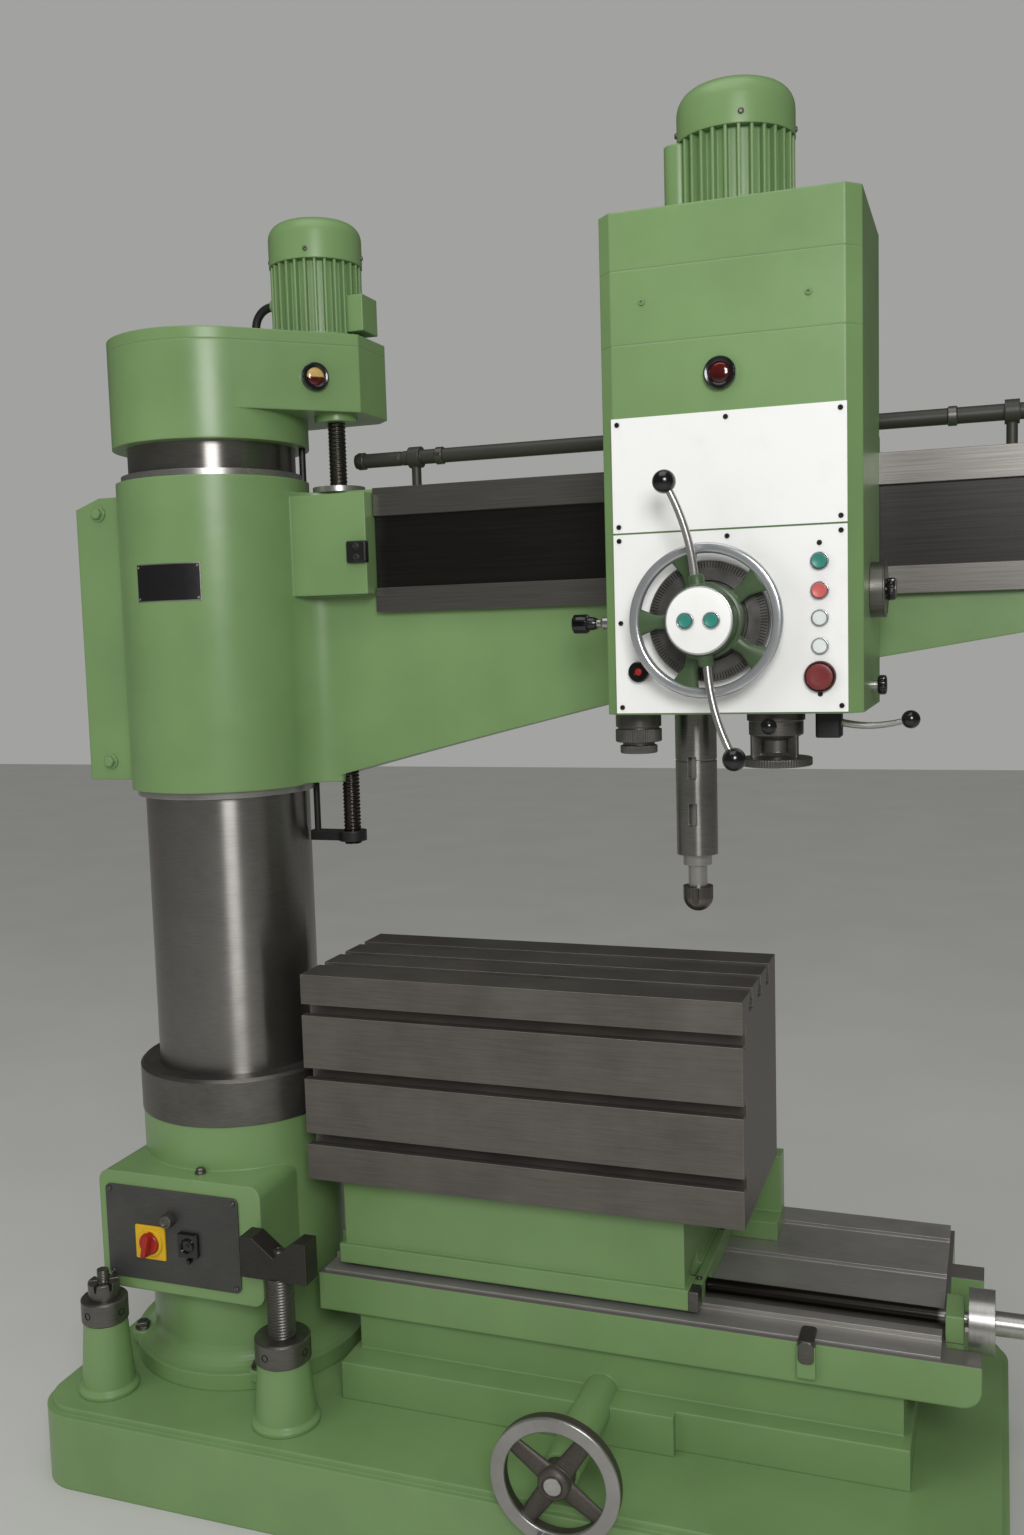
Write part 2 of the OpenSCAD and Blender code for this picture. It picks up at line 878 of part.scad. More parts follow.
// Carriage and box table
module carriage() {
  x1 = carriage_x0 + carriage_l;
  y1 = carriage_w - carriage_front;
  color(machine_green) difference() {
    union() {
      block(carriage_x0, x1, -carriage_front, y1, carriage_z, table_z);
      block(carriage_x0 - ledge_out, x1 + ledge_out, -carriage_front - ledge_out, y1 + ledge_out,
        carriage_z, carriage_z + ledge_h);
      block(rear_arm_x0, rear_post_x1, y1, rear_post_y1, carriage_z, carriage_z + ledge_h);
      block(rear_post_x0, rear_post_x1, rear_post_y0, rear_post_y1, carriage_z, carriage_z + rear_post_h);
    }
    for (span = [[carriage_x0 - ledge_out - cut, nut_x0], [nut_x1, x1 + ledge_out + cut]])
      block(span[0], span[1], screw_y - channel_w / 2 - tunnel_room, screw_y + channel_w / 2 + tunnel_room,
        carriage_z - cut, carriage_z + tunnel_h);
    bar_x(screw_y, screw_z, table_screw_r + fit, nut_x0 - cut, nut_x1 + cut);
  }
}

module way_wiper() {
  x0 = carriage_x0 + carriage_l + ledge_out;
  y0 = -carriage_front - ledge_out;
  y1 = carriage_w - carriage_front;
  color(machine_green) {
    block(x0, x0 + wiper_w, y0, screw_y - channel_w / 2, carriage_z, carriage_z + ledge_h);
    block(x0, x0 + wiper_w, screw_y + channel_w / 2, y1, carriage_z, carriage_z + ledge_h);
    block(x0, x0 + wiper_w, screw_y - channel_w / 2 - join, screw_y + channel_w / 2 + join,
      carriage_z + ledge_h - wiper_h,
      carriage_z + ledge_h);
  }
}

module box_table() {
  x1 = table_x0 + table_l;
  y0 = -table_front;
  y1 = table_w - table_front;
  color(ground_steel) difference() {
    block(table_x0, x1, y0, y1, table_z, table_top);
    for (share = top_slot_shares) {
      y = y0 + table_w * share;
      low = table_top - slot_depth - tee_h;
      block(table_x0 - cut, x1 + cut, y - slot_w / 2, y + slot_w / 2, low, table_top + cut);
      block(table_x0 - cut, x1 + cut, y - tee_w / 2, y + tee_w / 2, low, table_top - slot_depth);
    }
    for (share = front_slot_shares) {
      z = table_z + table_h * share;
      block(table_x0 - cut, x1 + cut, y0 - cut, y0 + slot_depth + tee_h, z - slot_w / 2, z + slot_w / 2);
      block(table_x0 - cut, x1 + cut, y0 + slot_depth, y0 + slot_depth + tee_h, z - tee_w / 2, z + tee_w / 2);
    }
  }
}

module table_screw() {
  dial_x = bed_x1 + dial_gap;
  color(bright_steel) {
    bar_x(screw_y, screw_z, table_screw_r, bed_x0 + ways_end, dial_x + dial_l);
    bar_x(screw_y, screw_z, dial_r, dial_x, dial_x + dial_l);
    bar_x(screw_y, screw_z, shaft_r, dial_x, table_wheel_x);
    bar_x(screw_y, screw_z, cross_screw_r, dial_x, table_wheel_x + wheel_hub_l);
  }
}

module table_handwheel() {
  translate([table_wheel_x + wheel_hub_l, screw_y, screw_z]) rotate([0, 0, 90]) {
    color(ground_steel) spoked_wheel(handwheel_r, wheel_rim_r, wheel_hub_l / 2, wheel_hub_r, wheel_hub_l,
      cross_screw_r, wheel_spoke_r, wheel_spokes, wheel_spoke_turn);
    wheel_grip();
  }
}

// Column tube and top casing
module column_tube() {
  top = casing_z + tube_socket;
  color(bright_steel) difference() {
    post(0, 0, tube_r, ring_z + tube_lift, top);
    post(0, 0, tube_r - tube_wall, ring_z, top + cut);
  }
}

module casing_outline() {
  touch = casing_r * [cos(casing_face_turn), -sin(casing_face_turn)];
  face_end = touch[1] + (casing_end - touch[0]) * tan(90 - casing_face_turn);
  circle(casing_r);
  polygon([
    [0, 0], touch, [casing_end, face_end], [casing_end, casing_end_y],
    [casing_end - casing_bevel, casing_end_y + casing_bevel], [0, casing_r]]);
}

// Point on the slanted front of the casing, at a share of its length
function casing_face(share) = let (
  touch = casing_r * [cos(casing_face_turn), -sin(casing_face_turn)],
  reach = (casing_end - touch[0]) * share)
  [touch[0] + reach, touch[1] + reach * tan(90 - casing_face_turn)];

module top_casing() {
  low_z = casing_z + casing_rise;
  floor_z = low_z + casing_floor;
  glass = casing_face(glass_share);
  color(machine_green) difference() {
    union() {
      post(0, 0, casing_r, casing_z, casing_top);
      translate([0, 0, low_z]) linear_extrude(casing_top - low_z) casing_outline();
      post(lift_x, lift_y, casing_boss_r, low_z - casing_boss_h, low_z + join);
      translate([glass[0], glass[1], (low_z + casing_top) / 2]) rotate([0, 0, 90 - casing_face_turn])
        rotate([90, 0, 0]) translate([0, 0, -join]) cylinder(r = glass_r, h = glass_t + join);
    }
    post(0, 0, tube_r + fit, casing_z - cut, casing_z + tube_socket);
    post(0, 0, casing_r - casing_wall, floor_z, casing_top + cut);
    post(lift_x, lift_y, lift_screw_r + fit, low_z - casing_boss_h - cut, casing_top);
    post(lift_x, lift_y, lift_gear_r + gear_room, floor_z, casing_top + cut);
    post(motor_x, motor_y, lift_pinion_r + gear_room, floor_z, casing_top + cut);
  }
}

module casing_lid() {
  color(machine_green) difference() {
    translate([0, 0, casing_top]) linear_extrude(lid_h) casing_outline();
    post(motor_x, motor_y, pinion_shaft_r + fit, casing_top - cut, lid_top + cut);
  }
}

module lift_motor() {
  side_x = lift_motor_r + lift_fin_h;
  color(machine_green) difference() {
    union() {
      translate([motor_x, motor_y, lid_top]) finned_frame(lift_motor_r, lift_fin_h, lift_motor_h, fin_count);
      block(motor_x, motor_x + side_x + terminal_box_d, motor_y - terminal_box_w / 2,
        motor_y + terminal_box_w / 2, lid_top + terminal_box_low,
        lid_top + terminal_box_low + terminal_box_h);
      bar_x(motor_y, lid_top + conduit_rise + conduit_bend, gland_r, motor_x - side_x - gland_l, motor_x);
    }
    post(motor_x, motor_y, pinion_shaft_r + fit, lid_top - cut, lid_top + shaft_socket);
  }
}

module lift_motor_cowl() {
  color(machine_green) translate([motor_x, motor_y, lid_top + lift_motor_h])
    fan_cowl(lift_cowl_r, lift_cowl_h, cowl_round);
}

// Conduit that leaves the lid and bends into the gland on the lift motor
module motor_conduit() {
  end_x = motor_x - lift_motor_r - lift_fin_h - gland_l;
  bend_z = lid_top + conduit_rise;
  color(gloss_black) {
    post(end_x - conduit_bend, motor_y, conduit_r, lid_top, bend_z + cut);
    translate([end_x, motor_y, bend_z]) rotate([90, 0, 0]) rotate([0, 0, 90])
      rotate_extrude(angle = 90) translate([conduit_bend, 0]) circle(conduit_r);
  }
}

// Guide rod from the casing and the bracket that steadies the foot of the lift screw
module screw_bracket() {
  top = sleeve_z - bracket_drop;
  low = top - bracket_h;
  color(gloss_black) difference() {
    union() {
      post(guide_rod_x, lift_y, guide_rod_r, low, casing_z);
      block(guide_rod_x - bracket_rod_r, lift_x, lift_y - bracket_w / 2, lift_y + bracket_w / 2, low, top);
      post(lift_x, lift_y, bracket_screw_r, low, top);
    }
    post(lift_x, lift_y, lift_screw_r + fit, low - cut, top + cut);
  }
}

// Lift screw and its gears
module lift_screw() {
  low = sleeve_z - bracket_drop - bracket_h - screw_tail;
  color(bright_steel) post(lift_x, lift_y, lift_screw_r, low, gear_z + gear_h);
}

module lift_gear() {
  mesh_turn = atan2(motor_y - lift_y, motor_x - lift_x);
  color(ground_steel) translate([lift_x, lift_y, gear_z]) difference() {
    linear_extrude(gear_h) rotate(mesh_turn) gear_outline(gear_teeth, lift_gear_r, gear_tooth);
    translate([0, 0, -cut]) cylinder(r = lift_screw_r, h = gear_h + 2 * cut);
  }
}

module lift_pinion() {
  mesh_turn = atan2(lift_y - motor_y, lift_x - motor_x) + 180 / pinion_teeth;
  color(ground_steel) translate([motor_x, motor_y, gear_z]) {
    linear_extrude(gear_h) rotate(mesh_turn) gear_outline(pinion_teeth, lift_pinion_r, gear_tooth);
    cylinder(r = pinion_shaft_r, h = lid_top + shaft_socket - gap - gear_z);
  }
}

// Arm
function bend(a, b, c, t) = (1 - t) * (1 - t) * a + 2 * t * (1 - t) * b + t * t * c;

module arm_side() {
  polygon(concat(
    [[0, rail_top], [arm_end, rail_top], [arm_end, arm_low_end]],
    [for (i = [0 : 12]) bend([knee_x, knee_z], [bend_x, bend_z], [root_x, root_z], i / 12)],
    [[0, root_z]]));
}

// Plan of the hollow blend between the round sleeve and the flat front of the arm
module arm_blend() {
  centre_y = arm_front - arm_fillet;
  centre_x = sqrt(pow(sleeve_r + arm_fillet, 2) - pow(centre_y, 2));
  touch = sleeve_r / (sleeve_r + arm_fillet);
  difference() {
    polygon([[0, 0], [centre_x * touch, centre_y * touch], [centre_x, centre_y], [centre_x, arm_front],
      [0, arm_front]]);
    translate([centre_x, centre_y]) circle(arm_fillet);
  }
}

module arm_casting() {
  color(machine_green) difference() {
    union() {
      post(0, 0, sleeve_r, sleeve_z, sleeve_top);
      post(0, 0, sleeve_r - sleeve_lip_in, sleeve_z - sleeve_lip_h, sleeve_top + sleeve_lip_h);
      translate([0, arm_back, 0]) rotate([90, 0, 0]) linear_extrude(arm_t) arm_side();
      translate([0, 0, root_z]) linear_extrude(rail_top - root_z) arm_blend();
      block(0, pad_x1, pad_y, arm_front, pad_top - pad_h, pad_top);
    }
    post(0, 0, tube_r + fit, sleeve_z - sleeve_lip_h - cut, sleeve_top + sleeve_lip_h + cut);
    post(lift_x, lift_y, nut_r + fit, rail_top - nut_l, rail_top + cut);
    post(lift_x, lift_y, lift_screw_r + screw_room, sleeve_z - cut, rail_top);
    post(guide_rod_x, lift_y, guide_rod_r + rod_room, sleeve_z - sleeve_lip_h - cut,
      sleeve_top + sleeve_lip_h + cut);
  }
}

module arm_rails() {
  color(ground_steel) translate([rail_x0, 0, 0]) rotate([90, 0, 90]) linear_extrude(rail_x1 - rail_x0)
    polygon([
      [0, rail_z], [rail_t, rail_z], [rail_t, rail_top], [0, rail_top], [0, rail_top - rail_upper_h],
      [rail_recess, rail_top - rail_upper_h], [rail_recess, rail_z + rail_lower_h],
      [0, rail_z + rail_lower_h]]);
}

module lift_nut() {
  color(bright_steel) difference() {
    union() {
      post(lift_x, lift_y, nut_r, rail_top - nut_l, rail_top + join);
      post(lift_x, lift_y, nut_flange_r, rail_top, rail_top + nut_flange_h);
    }
    post(lift_x, lift_y, lift_screw_r + fit, rail_top - nut_l - cut, rail_top + nut_flange_h + cut);
  }
}

// Cover over the sleeve's clamp at the left
module side_cover() {
  low = cover_top - cover_h;
  color(machine_green) difference() {
    translate([0, cover_w / 2, 0]) rotate([90, 0, 0]) linear_extrude(cover_w) polygon([
      [cover_x, low], [0, low], [0, cover_top], [cover_x + cover_w / 2, cover_top],
      [cover_x, cover_top - cover_slope]]);
    post(0, 0, sleeve_r, low - cut, cover_top + cut);
  }
}

// Cable tube along the arm on two clamped posts
module cable_tube() {
  color(ground_steel) difference() {
    union() {
      bar_x(tube_y, tube_z, cable_r, cable_x0, rail_x1);
      for (x = [cable_post_x0, cable_post_x1]) {
        post(x, tube_y, post_r, rail_top, tube_z);
        bar_x(tube_y, tube_z, post_clamp_r, x - post_clamp_l / 2, x + post_clamp_l / 2);
      }
    }
    translate([cable_joint_x, tube_y, tube_z]) rotate([0, 90, 0]) rotate_extrude()
      translate([cable_r - cable_joint_d, 0]) square([cable_joint_d + cut, cable_joint_w]);
  }
}

// Drill head
module head_outline() {
  polygon([
    [head_x0, head_back], [head_x0, head_front + head_bevel], [head_x0 + head_bevel, head_front],
    [head_x1 - head_bevel, head_front], [head_x1, head_front + head_bevel], [head_x1, head_back]]);
}

module head_body() {
  color(machine_green) difference() {
    union() {
      translate([0, 0, head_z]) linear_extrude(head_body_h) head_outline();
      block(head_x0, head_x1, head_back - join, lip_d, rail_top + gap, rail_top + gap + lip_h);
      block(head_x0, head_x1, head_back - join, lip_d, rail_z - gap - lip_h, rail_z - gap);
    }
    post(spindle_x, spindle_y, quill_r + fit, head_z - cut, quill_z + quill_l + quill_room);
    bar_y(hub_x, hub_z, capstan_shaft_r + fit, head_front - cut, head_front + capstan_depth);
    for (z = [start_z, reverse_z])
      bar_y(button_x, z, button_r + button_gap, head_front - cut, head_front + button_travel + gap);
    bar_y(button_x, stop_z, stop_r + button_gap, head_front - cut, head_front + button_travel + gap);
    bar_x(control_y, knob_z, knob_stem_r + fit, head_x0 - cut, head_x0 + stem_depth);
    bar_x(control_y, lock_z, knob_stem_r + fit, head_x1 - stem_depth, head_x1 + cut);
    bar_x(control_y, dial_z, knob_stem_r + fit, head_x1 - stem_depth, head_x1 + cut);
    post(depth_dial_x, under_y, knob_stem_r + fit, head_z - cut, head_z + stem_depth);
    post(selector_x, under_y, knob_stem_r + fit, head_z - cut, head_z + stem_depth);
    post(clamp_x, under_y, clamp_pin_r + fit, head_z - cut, head_z + stem_depth);
  }
}

module mid_cover() {
  color(machine_green) translate([0, 0, head_mid_z]) linear_extrude(mid_cover_h) head_outline();
}

module top_cover() {
  color(machine_green) translate([0, 0, head_upper_z]) linear_extrude(top_cover_h) head_outline();
}

module face_plates() {
  x0 = head_x0 + plate_in;
  x1 = head_x1 - plate_in;
  color(plate_white) difference() {
    union() {
      block(x0, x1, plate_y, head_front, plate_split + plate_seam, plate_top);
      block(x0, x1, plate_y, head_front, plate_low, plate_split);
    }
    bar_y(hub_x, hub_z, capstan_shaft_r + fit, plate_y - cut, head_front + cut);
    for (z = [start_z, reverse_z]) bar_y(button_x, z, button_r + button_gap, plate_y - cut, head_front + cut);
    bar_y(button_x, stop_z, stop_r + button_gap, plate_y - cut, head_front + cut);
  }
}

module indicator_lamps() {
  color(plate_white) {
    for (z = lamp_zs) bar_y(button_x, z, lamp_r, plate_y - lamp_h, plate_y);
    bar_y(head_x - sight_lamp_left, head_z + sight_lamp_rise, sight_lamp_r, plate_y - lamp_h, plate_y);
  }
}

module head_glass() {
  color(signal_red) bar_y(head_motor_x, head_glass_z, head_glass_r, head_front - head_glass_t, head_front);
}

module head_motor() {
  color(machine_green) {
    translate([head_motor_x, spindle_y, head_top])
      finned_frame(head_motor_r, head_fin_h, head_motor_h, fin_count);
    post(terminal_x, terminal_y, terminal_r, head_top, head_top + terminal_h);
  }
}

module head_motor_cowl() {
  color(machine_green) translate([head_motor_x, spindle_y, head_top + head_motor_h])
    fan_cowl(head_cowl_r, head_cowl_h, head_cowl_round);
}

// Quill, spindle and tool
module quill() {
  color(ground_steel) difference() {
    post(spindle_x, spindle_y, quill_r, quill_z, quill_z + quill_l);
    post(spindle_x, spindle_y, spindle_r + fit, quill_z - cut, quill_z + quill_l + cut);
    translate([spindle_x, spindle_y, quill_z + quill_joint]) rotate_extrude()
      translate([quill_r - quill_groove / 2, 0]) square([quill_groove, quill_groove]);
    for (z = drift_zs)
      block(spindle_x - drift_w / 2, spindle_x + drift_w / 2, spindle_y - quill_r - cut, spindle_y,
        quill_z + z, quill_z + z + drift_h);
  }
}

module spindle() {
  nose_z = quill_z - gap - nose_h;
  color(bright_steel) {
    post(spindle_x, spindle_y, spindle_r, nose_z, quill_z + quill_l + spindle_top);
    post(spindle_x, spindle_y, nose_r, nose_z, quill_z - gap);
    post(spindle_x, spindle_y, arbor_r, nose_z - arbor_h, quill_z - gap);
  }
}

module end_mill() {
  top = quill_z - gap - nose_h - arbor_h;
  color(ground_steel) translate([spindle_x, spindle_y, top - mill_h]) difference() {
    rotate_extrude() intersection() {
      union() {
        translate([0, mill_r]) square([mill_r, mill_h - mill_r]);
        translate([0, mill_r]) circle(mill_r);
      }
      square([mill_r, mill_h]);
    }
    for (i = [0 : mill_flutes - 1])
      rotate(i * 360 / mill_flutes) translate([mill_r + flute_r / 2, 0, -cut])
        cylinder(r = flute_r, h = mill_h);
  }
}

// Traverse wheel and the feed capstan on one axis
module traverse_wheel() {
  color(machine_green) translate([hub_x, wheel_y, hub_z])
    spoked_wheel(wheel_r, traverse_rim_r, traverse_rim_at, traverse_hub_r, traverse_hub_l,
      capstan_shaft_r + fit, traverse_spoke_r, traverse_spokes, traverse_spoke_turn);
}

module feed_lever() {
  cylinder(r = lever_boss_r, h = lever_boss_l);
  rotate([lever_lean, 0, 0]) {
    cylinder(r = lever_r, h = lever_reach);
    translate([0, 0, lever_reach]) sphere(lever_ball_r);
  }
}

module feed_capstan() {
  color(ground_steel) translate([hub_x, capstan_y, hub_z]) difference() {
    union() {
      translate([0, capstan_l, 0]) rotate([90, 0, 0]) cylinder(r = capstan_r, h = capstan_l - capstan_bevel);
      translate([0, capstan_bevel, 0]) rotate([90, 0, 0])
        cylinder(r1 = capstan_r, r2 = cap_r, h = capstan_bevel);
      rotate([90, 0, 0]) cylinder(r = cap_r, h = cap_t);
      rotate([-90, 0, 0]) translate([0, 0, -cap_t])
        cylinder(r = capstan_shaft_r, h = cap_t + head_front + capstan_depth - gap - capstan_y);
      for (i = [0, 1])
        translate([0, capstan_l / 2, 0]) rotate([0, lever_turn + i * 180, 0]) feed_lever();
    }
    for (side = [-1, 1])
      translate([side * hub_button_x, button_depth + button_travel + gap, 0]) rotate([90, 0, 0])
        cylinder(r = hub_button_r + button_gap, h = button_depth + button_travel + gap + cap_t + cut);
  }
}

// Buttons
module push_button(x, z, r, y_seat, y_front) {
  bar_y(x, z, r, y_front, y_seat);
}

module left_hub_button() {
  color(signal_green) push_button(hub_x - hub_button_x, hub_z, hub_button_r, capstan_y + button_depth,
    capstan_y - cap_t - hub_button_h);
}

module right_hub_button() {
  color(signal_green) push_button(hub_x + hub_button_x, hub_z, hub_button_r, capstan_y + button_depth,
    capstan_y - cap_t - hub_button_h);
}

module start_button() {
  color(signal_green) push_button(button_x, start_z, button_r, head_front - gap, plate_y - button_h);
}

module reverse_button() {
  color(signal_red) push_button(button_x, reverse_z, button_r, head_front - gap, plate_y - button_h);
}

module stop_button() {
  color(signal_red) push_button(button_x, stop_z, stop_r, head_front - gap, plate_y - stop_h);
}

// Controls on the sides and under the head
module side_dial() {
  x0 = head_x1 + gap;
  color(ground_steel) {
    bar_x(control_y, dial_z, side_dial_r, x0, x0 + side_dial_t);
    bar_x(control_y, dial_z, side_knob_r, x0, x0 + side_dial_t + side_knob_l);
    bar_x(control_y, dial_z, knob_stem_r, head_x1 - stem_depth + gap, x0 + side_dial_t);
  }
}

module clamp_knob() {
  stem_end = head_x0 - knob_stem_l;
  color(gloss_black) {
    bar_x(control_y, knob_z, knob_stem_r, stem_end - clamp_knob_l / 2, head_x0 + stem_depth - gap);
    bar_x(control_y, knob_z, clamp_knob_r, stem_end - clamp_knob_l, stem_end);
  }
}

module lock_knob() {
  stem_end = head_x1 + lock_stem_l;
  color(gloss_black) {
    bar_x(control_y, lock_z, knob_stem_r, head_x1 - stem_depth + gap, stem_end + lock_knob_l / 2);
    bar_x(control_y, lock_z, lock_knob_r, stem_end, stem_end + lock_knob_l);
  }
}

module depth_dial() {
  top = head_z - gap;
  color(bright_steel) {
    post(depth_dial_x, under_y, depth_dial_r, top - depth_dial_h, top);
    post(depth_dial_x, under_y, depth_step_r, top - depth_dial_h - depth_step_h, top);
    post(depth_dial_x, under_y, knob_stem_r, top - depth_dial_h, head_z + stem_depth - gap);
  }
}

module selector_wheel() {
  top = head_z - gap;
  rim_z = top - selector_drop;
  color(bright_steel) {
    post(selector_x, under_y, selector_r, top - selector_h, top);
    post(selector_x, under_y, selector_neck_r, rim_z - selector_rim_h, top);
    post(selector_x, under_y, selector_rim_r, rim_z - selector_rim_h, rim_z);
    post(selector_x, under_y, knob_stem_r, rim_z, head_z + stem_depth - gap);
    bar_y(selector_x, top - selector_h / 2, selector_stem_r, under_y - selector_r - selector_reach, under_y);
    translate([selector_x, under_y - selector_r - selector_reach, top - selector_h / 2])
      sphere(selector_ball_r);
  }
}

module clamp_lever() {
  top = head_z - gap;
  mid_z = top - lever_rod_drop;
  color(gloss_black) {
    block(clamp_x - lever_block / 2, clamp_x + lever_block / 2, under_y - lever_block / 2,
      under_y + lever_block / 2, top - lever_block_h, top);
    post(clamp_x, under_y, clamp_pin_r, top - lever_block_h, head_z + stem_depth - gap);
    bar_x(under_y, mid_z, clamp_rod_r, clamp_x, clamp_x + clamp_reach);
    translate([clamp_x + clamp_reach, under_y, mid_z]) sphere(clamp_ball_r);
  }
}

base_plate();
column_foot();
column_core();
clamp_ring();
switch_panel();
main_switch();
jack_posts();
left_jack_nut();
left_jack_screw();
right_jack_nut();
right_jack_screw();
table_pedestal();
bed();
bed_ways();
cross_screw();
cross_handwheel();
carriage();
way_wiper();
box_table();
table_screw();
table_handwheel();
column_tube();
top_casing();
casing_lid();
lift_motor();
lift_motor_cowl();
motor_conduit();
screw_bracket();
lift_screw();
lift_gear();
lift_pinion();
arm_casting();
arm_rails();
lift_nut();
side_cover();
cable_tube();
head_body();
mid_cover();
top_cover();
face_plates();
indicator_lamps();
head_glass();
head_motor();
head_motor_cowl();
quill();
spindle();
end_mill();
traverse_wheel();
feed_capstan();
left_hub_button();
right_hub_button();
start_button();
reverse_button();
stop_button();
side_dial();
clamp_knob();
lock_knob();
depth_dial();
selector_wheel();
clamp_lever();
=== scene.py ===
"""Radial arm drill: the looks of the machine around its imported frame, in metres, Z up."""
import math

import bmesh
import bpy
import numpy as np
from mathutils import Euler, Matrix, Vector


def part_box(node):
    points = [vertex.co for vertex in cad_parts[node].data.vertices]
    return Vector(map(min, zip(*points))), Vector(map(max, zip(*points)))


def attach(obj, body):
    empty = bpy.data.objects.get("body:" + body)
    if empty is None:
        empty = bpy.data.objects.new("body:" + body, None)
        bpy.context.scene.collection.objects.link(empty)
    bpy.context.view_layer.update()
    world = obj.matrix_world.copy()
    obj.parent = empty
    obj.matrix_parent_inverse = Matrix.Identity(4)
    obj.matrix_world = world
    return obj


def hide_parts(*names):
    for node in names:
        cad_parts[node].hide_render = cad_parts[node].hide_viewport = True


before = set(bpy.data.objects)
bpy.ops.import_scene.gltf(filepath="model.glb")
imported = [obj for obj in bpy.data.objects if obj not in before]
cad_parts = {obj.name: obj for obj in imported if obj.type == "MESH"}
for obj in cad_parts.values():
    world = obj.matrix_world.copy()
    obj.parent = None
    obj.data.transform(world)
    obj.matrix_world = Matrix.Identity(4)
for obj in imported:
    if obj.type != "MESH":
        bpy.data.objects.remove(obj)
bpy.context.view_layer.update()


# Camera, floor and light
# The machine is seen from the right of its front, from about eye height, with a normal lens.
# It stands on a pale floor that runs to the horizon, under three large soft lamps.
camera_place = (1.5847, -2.5716, 1.725)
camera_pitch, camera_roll, camera_yaw = np.radians((84.39, 1.656, 19.798))
focal_px = 1361.0
photo_long_px = 1535
sensor_mm = 36.0
scene = bpy.context.scene


def linear(colour):
    """An sRGB hex colour as linear red, green, blue and alpha, by the sRGB curve."""
    srgb = np.array([int(colour[i:i + 2], 16) for i in (1, 3, 5)]) / 255
    low = srgb / 12.92
    high = ((srgb + 0.055) / 1.055) ** 2.4
    return (*np.where(srgb <= 0.04045, low, high).tolist(), 1.0)


def fill(tree, node, values):
    """Fills inputs of a node by name or number: an output is linked, a hex colour is made linear."""
    for key, value in values.items():
        if isinstance(value, bpy.types.NodeSocket):
            tree.links.new(value, node.inputs[key])
        else:
            node.inputs[key].default_value = linear(value) if isinstance(value, str) else value


def add_node(tree, kind, values=(), **settings):
    """Adds a shader node with its settings and fills its inputs."""
    node = tree.nodes.new("ShaderNode" + kind)
    for key, value in settings.items():
        setattr(node, key, value)
    fill(tree, node, dict(values))
    return node


def new_material(name):
    """An empty material with its tree, its shader and its Object coordinates."""
    material = bpy.data.materials.new(name)
    material.use_nodes = True
    tree = material.node_tree
    tree.nodes.clear()
    shader = add_node(tree, "BsdfPrincipled")
    add_node(tree, "OutputMaterial", {"Surface": shader.outputs[0]})
    place = add_node(tree, "TexCoord").outputs["Object"]
    return material, tree, shader, place


def noise(tree, place, scale, detail=2.0, roughness=0.5):
    """Share from 0 to 1 in clouds about one over scale metres across, with finer ones by detail."""
    values = {"Vector": place, "Scale": scale, "Detail": detail, "Roughness": roughness}
    return add_node(tree, "TexNoise", values).outputs["Fac"]


def mix(tree, share, low, high):
    """Colour that goes from low to high with a share."""
    return add_node(tree, "Mix", {0: share, 6: low, 7: high}, data_type="RGBA").outputs[2]


def add_object(name, data):
    """A new object at the origin, linked into the scene."""
    item = bpy.data.objects.new(name, data)
    scene.collection.objects.link(item)
    return item


camera = add_object("camera", bpy.data.cameras.new("camera"))
camera.location = camera_place
upright = Euler((camera_pitch, 0, camera_yaw), "XYZ").to_matrix()
tilt = Euler((0, 0, -camera_roll), "XYZ").to_matrix()
camera.rotation_euler = (upright @ tilt).to_euler("XYZ")
camera.data.sensor_width = sensor_mm
camera.data.lens = focal_px / photo_long_px * sensor_mm
scene.camera = camera
scene.view_settings.view_transform = "Standard"

floor_half = 14.0
floor_corners = [(-1, -1), (1, -1), (1, 1), (-1, 1)]
floor_mesh = bpy.data.meshes.new("floor")
floor_mesh.from_pydata([(x * floor_half, y * floor_half, 0) for x, y in floor_corners], [], [(0, 1, 2, 3)])
add_object("floor", floor_mesh)

# Sealed concrete is an even pale grey with faint clouds about half a metre across.
concrete, tree, shader, place = new_material("pale_concrete")
tint = mix(tree, noise(tree, place, 1.6, 5.0), "#d0d0cd", "#c3c3c0")
fill(tree, shader, {"Base Color": tint, "Roughness": 0.75})
floor_mesh.materials.append(concrete)

# The sky lights the machine softly, is seen as a mid grey, and is darker still in polished metal.
world = bpy.data.worlds.new("studio")
world.use_nodes = True
studio = world.node_tree
studio.nodes.clear()
soft_sky, seen_sky, mirror_sky = [
    add_node(studio, "Background", {"Color": colour, "Strength": strength}).outputs[0]
    for colour, strength in (("#dcdcda", 0.53), ("#a2a2a0", 1.0), ("#454543", 1.0))]
rays = add_node(studio, "LightPath").outputs
shown = add_node(studio, "MixShader", {0: rays["Is Camera Ray"], 1: soft_sky, 2: seen_sky}).outputs[0]
mirrored = add_node(studio, "MixShader", {0: rays["Is Glossy Ray"], 1: shown, 2: mirror_sky}).outputs[0]
add_node(studio, "OutputWorld", {"Surface": mirrored})
scene.world = world

